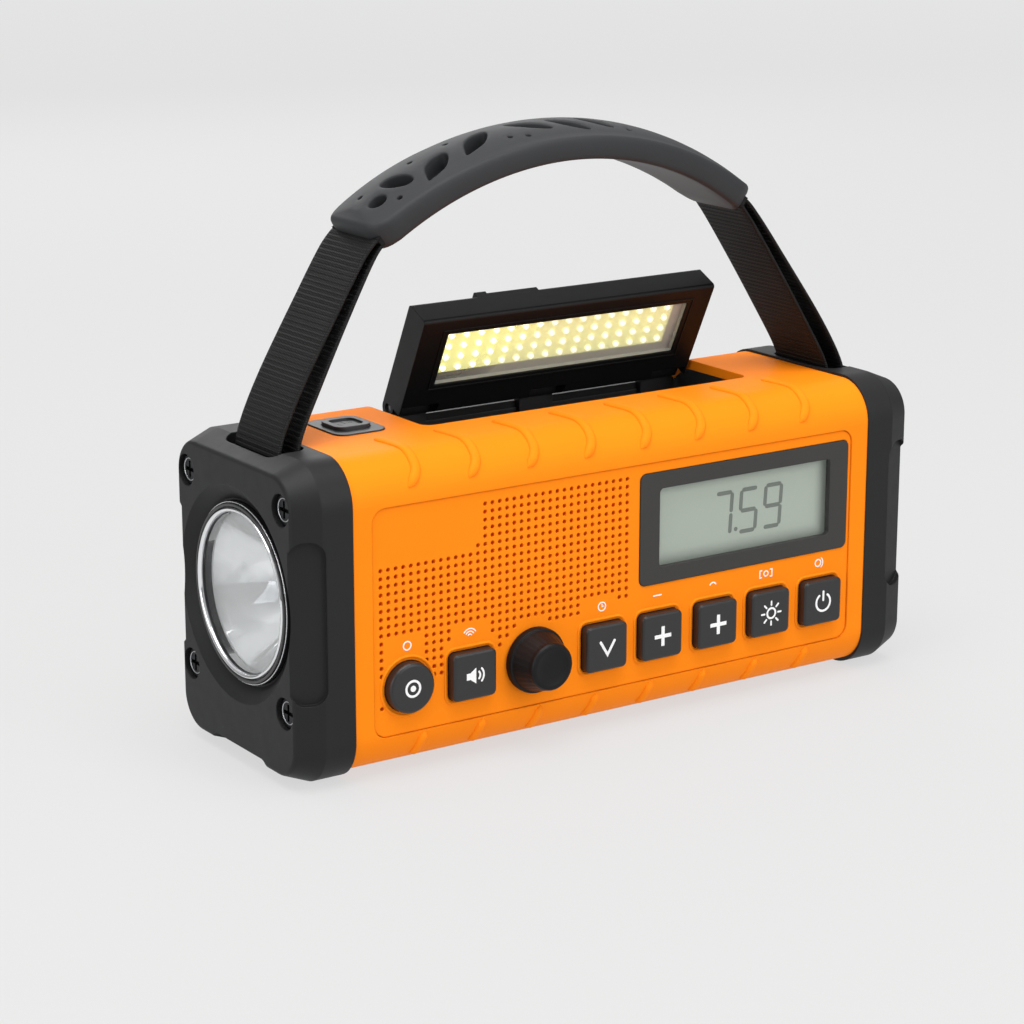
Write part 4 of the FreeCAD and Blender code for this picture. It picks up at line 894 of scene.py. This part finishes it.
def case_ribs():
    """Raised ribs over the top front edge, each with a small hook at its lower end."""
    shell = Shell()
    for index in range(RIB_COUNT):
        x = RIB_START + index * RIB_PITCH
        path = []
        for step in range(27):
            share = step / 26
            run = -8.5 + 8.5 * share / 0.45 if share < 0.45 else 72 * (share - 0.45) / 0.55
            bow = 0.9 * math.sin(math.pi * min(1.0, share / 0.9))
            hook = -2.6 * max(0.0, (share - 0.8) / 0.2) ** 2
            path.append(over_fillet(x + bow + hook, run))
        bead(shell, path, 1.15, 0.7, taper=2)
    shell.piece("top_edge_ribs", [orange], "case")
    shell = Shell()
    for index in range(RIB_COUNT):
        x = RIB_START + 0.6 + index * RIB_PITCH
        path = [over_fillet(x - 1.5 * step / 14, 80 - 42 * step / 14, upper=False) for step in range(15)]
        bead(shell, path, 1.1, 0.8, taper=3)
    shell.piece("bottom_edge_ribs", [orange], "case")


def rounded_rectangle(half_x, half_z, radius, steps=6):
    points = []
    for sx, sz, start in ((1, 1, 0), (-1, 1, 90), (-1, -1, 180), (1, -1, 270)):
        for step in range(steps + 1):
            angle = math.radians(start + 90 * step / steps)
            x = sx * (half_x - radius) + radius * math.cos(angle)
            z = sz * (half_z - radius) + radius * math.sin(angle)
            points.append((x, z))
    return points


def on_front(middle, face):
    """Maps a 2D point and a depth in front of a face to the front of the case."""
    return lambda point, depth: Vector((middle.x + point[0], face - depth, middle.z + point[1]))


SQUARE_KEYS = ["sound_button", "down_button", "minus_button", "plus_button", "light_button", "power_button"]


def control_rims():
    """Thin raised rims round the cut-outs of the square keys and the round target key."""
    shell = Shell()
    rims = [(centre(name), rounded_rectangle(6.05, 5.85, 2.0)) for name in SQUARE_KEYS]
    rims.append((centre("target_button"), circle(6.3, 48)))
    for middle, loop in rims:
        sections = []
        for offset, lift in ((-0.42, -0.1), (-0.3, 0.16), (0.0, 0.28), (0.3, 0.16), (0.42, -0.1)):
            grown = offset_loop(loop, offset)
            sections.append([Vector((middle.x + x, FASCIA_FACE - lift, middle.z + z)) for x, z in grown])
        loops = [shell.row(section) for section in sections]
        for first, second in zip(loops, loops[1:] + loops[:1]):
            shell.bridge(first, second)
    shell.piece("control_rims", [orange], "case")


def grille_backing():
    """Woven cloth behind the speaker holes."""
    shell = Shell()
    low_x, high_x = FASCIA_LOW.x + 1.2, 2.4
    low_z, high_z = 12.2, FASCIA_HIGH.z - 2.6
    outline = [(low_x, low_z), (high_x, low_z), (high_x, high_z), (low_x, high_z)]
    steps = 24
    edge = []
    for (x1, z1), (x2, z2) in zip(outline, outline[1:] + outline[:1]):
        edge.extend((x1 + (x2 - x1) * step / steps, z1 + (z2 - z1) * step / steps) for step in range(steps))
    middle = centre("tuning_knob")
    holes = [[(middle.x + x, middle.z + z) for x, z in circle(4.4, 24)]]
    for name in ("sound_button", "down_button", "target_button"):
        middle = centre(name)
        half = 6.4
        hole = [(middle.x + x, middle.z + z) for x, z in rounded_rectangle(half, half, 1.4, 3)]
        holes.append(hole)
    cut = [hole for hole in holes if all(inside(point, edge) for point in hole)]
    flat, triangles, counts = punched(edge, cut, 1.2)
    back = FASCIA_HIGH.y + 0.04
    for depth, flip in ((back, False), (back + 0.04, True)):
        weave = [0.008 * math.sin(x * 5) * math.sin(z * 5) for x, z in flat]
        points = shell.row([Vector((x, depth + rise, z)) for (x, z), rise in zip(flat, weave)])
        for triangle in triangles:
            corners = [points[index] for index in triangle]
            shell.face(reversed(corners) if flip else corners)
    count = len(flat)
    start = 0
    for length in counts:
        front_loop = list(range(start, start + length))
        back_loop = [index + count for index in front_loop]
        shell.bridge(front_loop, back_loop)
        start += length
    shell.piece("grille_backing", [cloth], "case", sharp=70)


# ---------------------------------------------------------------- keys, knob and display
INK = 0.05


def key_face(name):
    low, high = extent(name)
    return on_front((low + high) / 2, low.y)


def icon(name, button, body, draw):
    shell = Shell()
    draw(shell, key_face(button))
    shell.piece(name, [white_ink], body)


def line(shell, spot, *points, width=0.55, closed=False):
    stroke(shell, points, width, -0.03, INK, spot, closed)


def arc(radius, start, end, steps=14, middle=(0.0, 0.0)):
    span = end - start
    return [
        (
            middle[0] + radius * math.cos(math.radians(start + span * step / steps)),
            middle[1] + radius * math.sin(math.radians(start + span * step / steps)),
        )
        for step in range(steps + 1)
    ]


def target_icon(shell, spot):
    line(shell, spot, *circle(1.65, 32), width=0.5, closed=True)
    disc(shell, 0.65, -0.03, INK, spot)


def sound_icon(shell, spot):
    horn = [(-2.2, -0.7), (-1.3, -0.7), (0.1, -1.7), (0.1, 1.7), (-1.3, 0.7), (-2.2, 0.7)]
    shell.loft([[spot(point, depth) for point in horn] for depth in (-0.03, INK)])
    for radius in (1.1, 2.0):
        line(shell, spot, *arc(radius, -42, 42, middle=(0.0, 0.0)), width=0.42)


def down_icon(shell, spot):
    line(shell, spot, (-1.8, 1.4), (0.0, -1.5), (1.8, 1.4), width=0.6)


def plus_icon(shell, spot):
    arm, half = 2.2, 0.42
    corners = [
        (half, arm), (-half, arm), (-half, half), (-arm, half), (-arm, -half), (-half, -half),
        (-half, -arm), (half, -arm), (half, -half), (arm, -half), (arm, half), (half, half),
    ]
    shell.loft([[spot(point, depth) for point in corners] for depth in (-0.03, INK)])


def light_icon(shell, spot):
    line(shell, spot, *circle(1.15, 24), width=0.45, closed=True)
    for step in range(8):
        angle = math.pi * step / 4
        ray = Vector((math.cos(angle), math.sin(angle)))
        line(shell, spot, ray * 1.9, ray * 2.7, width=0.42)


def power_icon(shell, spot):
    line(shell, spot, *arc(2.0, 125, 415, 28), width=0.5)
    line(shell, spot, (0.0, 0.5), (0.0, 2.5), width=0.5)


def key_marks():
    icon("target_mark", "target_button", "target_button", target_icon)
    icon("sound_mark", "sound_button", "sound_button", sound_icon)
    icon("down_mark", "down_button", "down_button", down_icon)
    icon("minus_key_mark", "minus_button", "minus_button", plus_icon)
    icon("plus_key_mark", "plus_button", "plus_button", plus_icon)
    icon("light_mark", "light_button", "light_button", light_icon)
    icon("power_mark", "power_button", "power_button", power_icon)
    printed = Shell()
    above = 8.6
    for button, draw in (
        ("minus_button", lambda spot: line(printed, spot, (-1.0, above), (1.0, above), width=0.3)),
        ("light_button", lambda spot: lamp_print(printed, spot, above)),
        ("power_button", lambda spot: dial_print(printed, spot, above)),
        ("sound_button", lambda spot: wave_print(printed, spot, above)),
        ("target_button", lambda spot: ring_print(printed, spot, above)),
        ("down_button", lambda spot: clock_print(printed, spot, above)),
        ("plus_button", lambda spot: crest_print(printed, spot, above)),
    ):
        middle = centre(button)
        draw(on_front(middle, FASCIA_FACE))
    printed.piece("panel_marks", [white_ink], "case")


def lamp_print(shell, spot, above):
    for side in (-1, 1):
        near, far = side * 1.2, side * 1.7
        bracket = [(near, above + 0.8), (far, above + 0.8), (far, above - 0.8), (near, above - 0.8)]
        line(shell, spot, *bracket, width=0.26)
    line(shell, spot, *circle_at(0.6, 0.0, above), width=0.26, closed=True)


def circle_at(radius, x, z, steps=20):
    return [(x + u, z + v) for u, v in circle(radius, steps)]


def dial_print(shell, spot, above):
    line(shell, spot, *circle_at(0.8, 0.0, above), width=0.28, closed=True)
    line(shell, spot, *arc(1.4, -50, 50, 10, middle=(0.0, above)), width=0.24)


def wave_print(shell, spot, above):
    for radius in (0.5, 1.1, 1.7):
        line(shell, spot, *arc(radius, 35, 145, 12, middle=(0.0, above - 0.7)), width=0.26)


def crest_print(shell, spot, above):
    line(shell, spot, *arc(0.9, 30, 150, middle=(0.0, above - 0.5)), width=0.3)


def ring_print(shell, spot, above):
    line(shell, spot, *circle_at(0.9, 0.0, above), width=0.28, closed=True)


def clock_print(shell, spot, above):
    line(shell, spot, *circle_at(0.95, 0.0, above), width=0.26, closed=True)
    line(shell, spot, (0.0, above + 0.55), (0.0, above), (0.45, above), width=0.22)


SEGMENTS = {"7": "abc", "5": "afgcd", "9": "abcdfg"}


def digit(shell, spot, value, x, z, half_width, half_height, width):
    """Seven-segment numeral; the top of the numeral leans to the right."""
    gap = width * 0.62
    corners = {
        "a": ((-1, 1), (1, 1)), "b": ((1, 1), (1, 0)), "c": ((1, 0), (1, -1)), "d": ((-1, -1), (1, -1)),
        "e": ((-1, 0), (-1, -1)), "f": ((-1, 1), (-1, 0)), "g": ((-1, 0), (1, 0)),
    }
    for segment in SEGMENTS[value]:
        ends = []
        for sx, sz in corners[segment]:
            ends.append(Vector((x + sx * half_width + sz * half_height * 0.06, z + sz * half_height)))
        way = (ends[1] - ends[0]).normalized()
        stroke(shell, [ends[0] + way * gap, ends[1] - way * gap], width, 0.0, 0.03, spot)


def display_digits():
    low, high = extent("lcd_panel")
    middle = (low + high) / 2
    spot = on_front(middle, low.y - 0.01)
    shell = Shell()
    for value, x in (("7", -4.6), ("5", 2.4), ("9", 9.2)):
        digit(shell, spot, value, x, -0.3, 2.2, 4.7, 0.95)
    disc(shell, 0.5, 0.0, 0.03, lambda point, depth: spot((point[0] - 1.0, point[1] - 4.2), depth), 16)
    shell.piece("display_digits", [dark_ink], "case")


def knob():
    """Fluted tapered knob with a plain skirt and a slightly dished face."""
    low, high = extent("tuning_knob")
    middle = centre("tuning_knob")
    middle.z = (low.z + high.z) / 2
    face = low.y
    skirt_back = CASE_FRONT
    skirt_radius, face_radius = (high.x - low.x) / 2, 5.2
    spot = lambda u, v, along: Vector((middle.x + u, along, middle.z + v))
    flutes = 28

    def fluted(angle, radius, along):
        depth = 0.05 if face + 1.0 < along < skirt_back - 1.7 else 0.0
        return radius - depth * (0.5 + 0.5 * math.cos(flutes * angle)) ** 1.5

    shell = Shell()
    profile = [(0.4, skirt_back + 0.2), (skirt_radius, skirt_back + 0.1), (skirt_radius, skirt_back - 1.1)]
    profile += [(skirt_radius - 0.15, skirt_back - 1.4), (skirt_radius - 0.5, skirt_back - 1.5)]
    wide, start = skirt_radius - 0.55, skirt_back - 1.72
    for step in range(9):
        share = step / 8
        profile.append((wide - (wide - face_radius) * share, start - (start - face - 1.05) * share))
    for inward, depth in ((0.02, 0.85), (0.12, 0.45), (0.4, 0.14), (0.8, 0.02), (1.3, 0.05), (1.7, 0.22)):
        profile.append((face_radius - inward, face + depth))
    profile += [(2.0, face + 0.3), (0.4, face + 0.32)]
    rows = revolve(shell, profile, spot, steps=flutes * 8, closed=False, lobes=fluted)
    shell.face(rows[0])
    shell.face(reversed(rows[-1]))
    made = shell.piece("ribbed_knob", [knob_black], "tuning_knob", sharp=30)
    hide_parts("tuning_knob")


# ---------------------------------------------------------------- flashlight
def reflector():
    """Polished bowl with broad lobes, and the emitter's seat at its root."""
    low, high = extent("flashlight_reflector")
    middle = centre("flashlight_reflector")
    front, back = low.x + 0.05, high.x
    mouth, root = (high.z - low.z) / 2 - 0.85, 3.6
    steps = 22
    inner_profile = []
    for step in range(steps + 1):
        radius = mouth + (root - mouth) * step / steps
        depth = (1 - (radius / mouth) ** 2) / (1 - (root / mouth) ** 2)
        inner_profile.append((radius, front + (back - front) * depth))
    outer_profile = [(radius + 0.6, along + 0.15) for radius, along in reversed(inner_profile)]

    def lobed(angle, radius, along):
        share = (radius - root) / (mouth - root)
        wave = 0.3 * math.sin(math.pi * min(1, max(0, share))) * math.cos(4 * angle + 0.6)
        return radius + wave

    shell = Shell()
    spot = lambda u, v, along: Vector((along, middle.y + u, middle.z + v))
    revolve(shell, inner_profile + outer_profile, spot, steps=96, lobes=lobed)
    made = shell.piece("reflector_bowl", [mirror], "case", sharp=60)
    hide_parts("flashlight_reflector")


def torch_surround():
    """Gloss ring round the flashlight's chrome rim, with a fine bright bead."""
    low, high = extent("flashlight_bezel")
    middle = centre("flashlight_bezel")
    radius = (high.z - low.z) / 2
    spot = lambda u, v, along: Vector((along, middle.y + u, middle.z + v))
    shell = Shell()
    face = low.x
    outer, within = radius - 0.2, radius - 1.1
    profile = [(outer, face + 0.1), (outer, face - 0.35), (outer - 0.2, face - 0.6)]
    profile += [(within + 0.2, face - 0.6), (within, face - 0.35), (within, face + 0.1)]
    revolve(shell, profile, spot, steps=96)
    shell.piece("torch_gloss_ring", [gloss_black], "case", sharp=45)
    shell = Shell()
    wire = []
    for step in range(8):
        angle = 2 * math.pi * step / 8
        wire.append((radius - 0.1 + 0.13 * math.cos(angle), face - 0.1 + 0.13 * math.sin(angle)))
    revolve(shell, wire, spot, steps=96)
    shell.piece("torch_bright_bead", [chrome], "case", sharp=60)
    shell = Shell()
    outer, within = radius - 1.2, radius - 2.15
    profile = [(outer, face + 0.1), (outer, face - 0.4), (outer - 0.3, face - 0.75)]
    profile += [(within + 0.3, face - 0.7), (within, face - 0.3), (within, face + 0.1)]
    revolve(shell, profile, spot, steps=96)
    shell.piece("torch_chrome_lip", [chrome], "case", sharp=50)


def screw_rings():
    """Bright turned edge on each cap screw's head."""
    shell = Shell()
    low, high = extent("case_screws")
    for side in (-1, 1):
        face = low.x if side < 0 else high.x
        for y in (-19.8, 19.8):
            for z in (16.2, 58.5):
                spot = lambda u, v, along: Vector((face + side * along, y + u, z + v))
                ring = [(2.2, -0.1), (2.24, 0.06), (2.36, 0.1), (2.48, 0.06), (2.52, -0.1)]
                revolve(shell, ring, spot, steps=40)
    shell.piece("screw_head_rings", [steel], "case", sharp=60)


# ---------------------------------------------------------------- lid
LID_OPEN = math.radians(64.0)
LID_UNDERSIDE = 60.0
LAMP_WINDOW = ((-22.15, 0.2), (42.15, 13.8))


def lid_details():
    """Ridge lines above and below the lamp window, on the side that faces forward when open."""
    window_low, window_high = LAMP_WINDOW
    face = LID_UNDERSIDE
    spot = lambda point, depth: turn_about_hinge((point[0], point[1], face - depth))
    shell = Shell()
    left, right = window_low[0] - 1.4, window_high[0] + 1.2
    near, far = window_low[1] - 1.0, window_high[1] + 1.0
    for y in (near, far):
        stroke(shell, [(left + (right - left) * step / 20, y) for step in range(21)], 0.32, -0.05, 0.22, spot)
    for x in (left, right):
        stroke(shell, [(x, near + (far - near) * step / 6) for step in range(7)], 0.32, -0.05, 0.16, spot)
    shell.piece("lamp_window_ridges", [lid_black], "lid")


# ---------------------------------------------------------------- top button
def top_mark():
    """Near-black mark in the top button's dish: painted shade standing for a recessed icon."""
    low, high = extent("top_button")
    middle = (low + high) / 2
    spot = lambda point, depth: Vector((middle.x + point[0], middle.y + point[1], high.z - 0.45 + depth))
    shell = Shell()
    line(shell, spot, *arc(1.7, 125, 415, 24), width=0.4)
    line(shell, spot, (0.0, 0.4), (0.0, 2.1), width=0.4)
    shell.piece("top_button_mark", [icon_recess_painted_shade], "top_button")


# ---------------------------------------------------------------- stage, lights and camera
FLOOR_GLOW = 0.79
FAR_FLOOR_GLOW = 0.885


def stage():
    """Pale floor with a gentle glow of its own, as in a light tent."""
    bpy.ops.mesh.primitive_grid_add(x_subdivisions=8, y_subdivisions=8, size=12)
    floor = bpy.context.object
    floor.name = "studio_floor"
    floor.location.z = -0.0002
    finish = Finish("studio_paper", 0.9)
    finish.put(Specular_IOR_Level=0.0)
    tone = finish.mix(finish.noise(900.0), (0.115, 0.115, 0.115, 1), (0.125, 0.125, 0.125, 1))
    distance = finish.add("ShaderNodeVectorMath", operation="LENGTH")
    finish.link(finish.place, distance.inputs[0])
    glow = finish.fit(distance.outputs["Value"], 0.5, 2.2, FLOOR_GLOW, FAR_FLOOR_GLOW)
    finish.link(glow, finish.shader.inputs["Emission Strength"])
    finish.put(Emission_Color=(0.80, 0.80, 0.80, 1))
    floor.data.materials.append(finish.done(tone))
    world = bpy.data.worlds.new("studio")
    scene.world = world
    world.use_nodes = True
    tree = world.node_tree
    background = tree.nodes["Background"]
    path = tree.nodes.new("ShaderNodeLightPath")
    place = tree.nodes.new("ShaderNodeTexCoord")
    split = tree.nodes.new("ShaderNodeSeparateXYZ")
    tree.links.new(place.outputs["Generated"], split.inputs[0])
    ramp = tree.nodes.new("ShaderNodeValToRGB")
    ramp.color_ramp.elements[0].position = 0.0
    ramp.color_ramp.elements[0].color = (0.2, 0.2, 0.2, 1)
    ramp.color_ramp.elements[1].position = 0.85
    ramp.color_ramp.elements[1].color = (0.8, 0.8, 0.8, 1)
    tree.links.new(split.outputs["Z"], ramp.inputs["Fac"])
    mix = tree.nodes.new("ShaderNodeMix")
    mix.data_type = "RGBA"
    tree.links.new(path.outputs["Is Camera Ray"], mix.inputs[0])
    tree.links.new(ramp.outputs["Color"], mix.inputs[6])
    mix.inputs[7].default_value = (0.80, 0.80, 0.80, 1)
    tree.links.new(mix.outputs[2], background.inputs["Color"])


def softbox(name, place, target, width, height, power, colour=(1.0, 1.0, 1.0)):
    data = bpy.data.lights.new(name, "AREA")
    data.shape = "RECTANGLE"
    data.size = width
    data.size_y = height
    data.energy = power
    data.color = colour
    lamp = bpy.data.objects.new(name, data)
    lamp.location = place
    lamp.rotation_euler = (Vector(target) - Vector(place)).to_track_quat("-Z", "Y").to_euler()
    scene.collection.objects.link(lamp)


def lights():
    middle = (0.0, 0.0, 0.05)
    softbox("top_box", (-0.1, -0.15, 0.9), middle, 0.8, 0.7, 7.5)
    softbox("front_box", (0.35, -0.95, 0.45), middle, 0.5, 0.7, 4.0)
    softbox("left_box", (-0.95, -0.25, 0.3), middle, 0.35, 0.7, 2.6)
    softbox("back_box", (0.3, 0.9, 0.5), middle, 0.8, 0.4, 2.5)


def camera():
    data = bpy.data.cameras.new("camera")
    data.lens = 99.5
    data.sensor_width = 36.0
    data.clip_start = 0.01
    made = bpy.data.objects.new("camera", data)
    made.location = (-0.3430, -0.4914, 0.2034)
    made.rotation_euler = Euler((math.radians(74.9), 0.0, math.radians(-34.0)))
    scene.collection.objects.link(made)
    scene.camera = made
    scene.view_settings.view_transform = "Standard"


# ---------------------------------------------------------------- build
grip()
strap("left_strap", "left_webbing", -1)
strap("right_strap", "right_webbing", 1)
case_ribs()
control_rims()
grille_backing()
key_marks()
display_digits()
knob()
reflector()
torch_surround()
screw_rings()
lid_details()
top_mark()
stage()
lights()
camera()
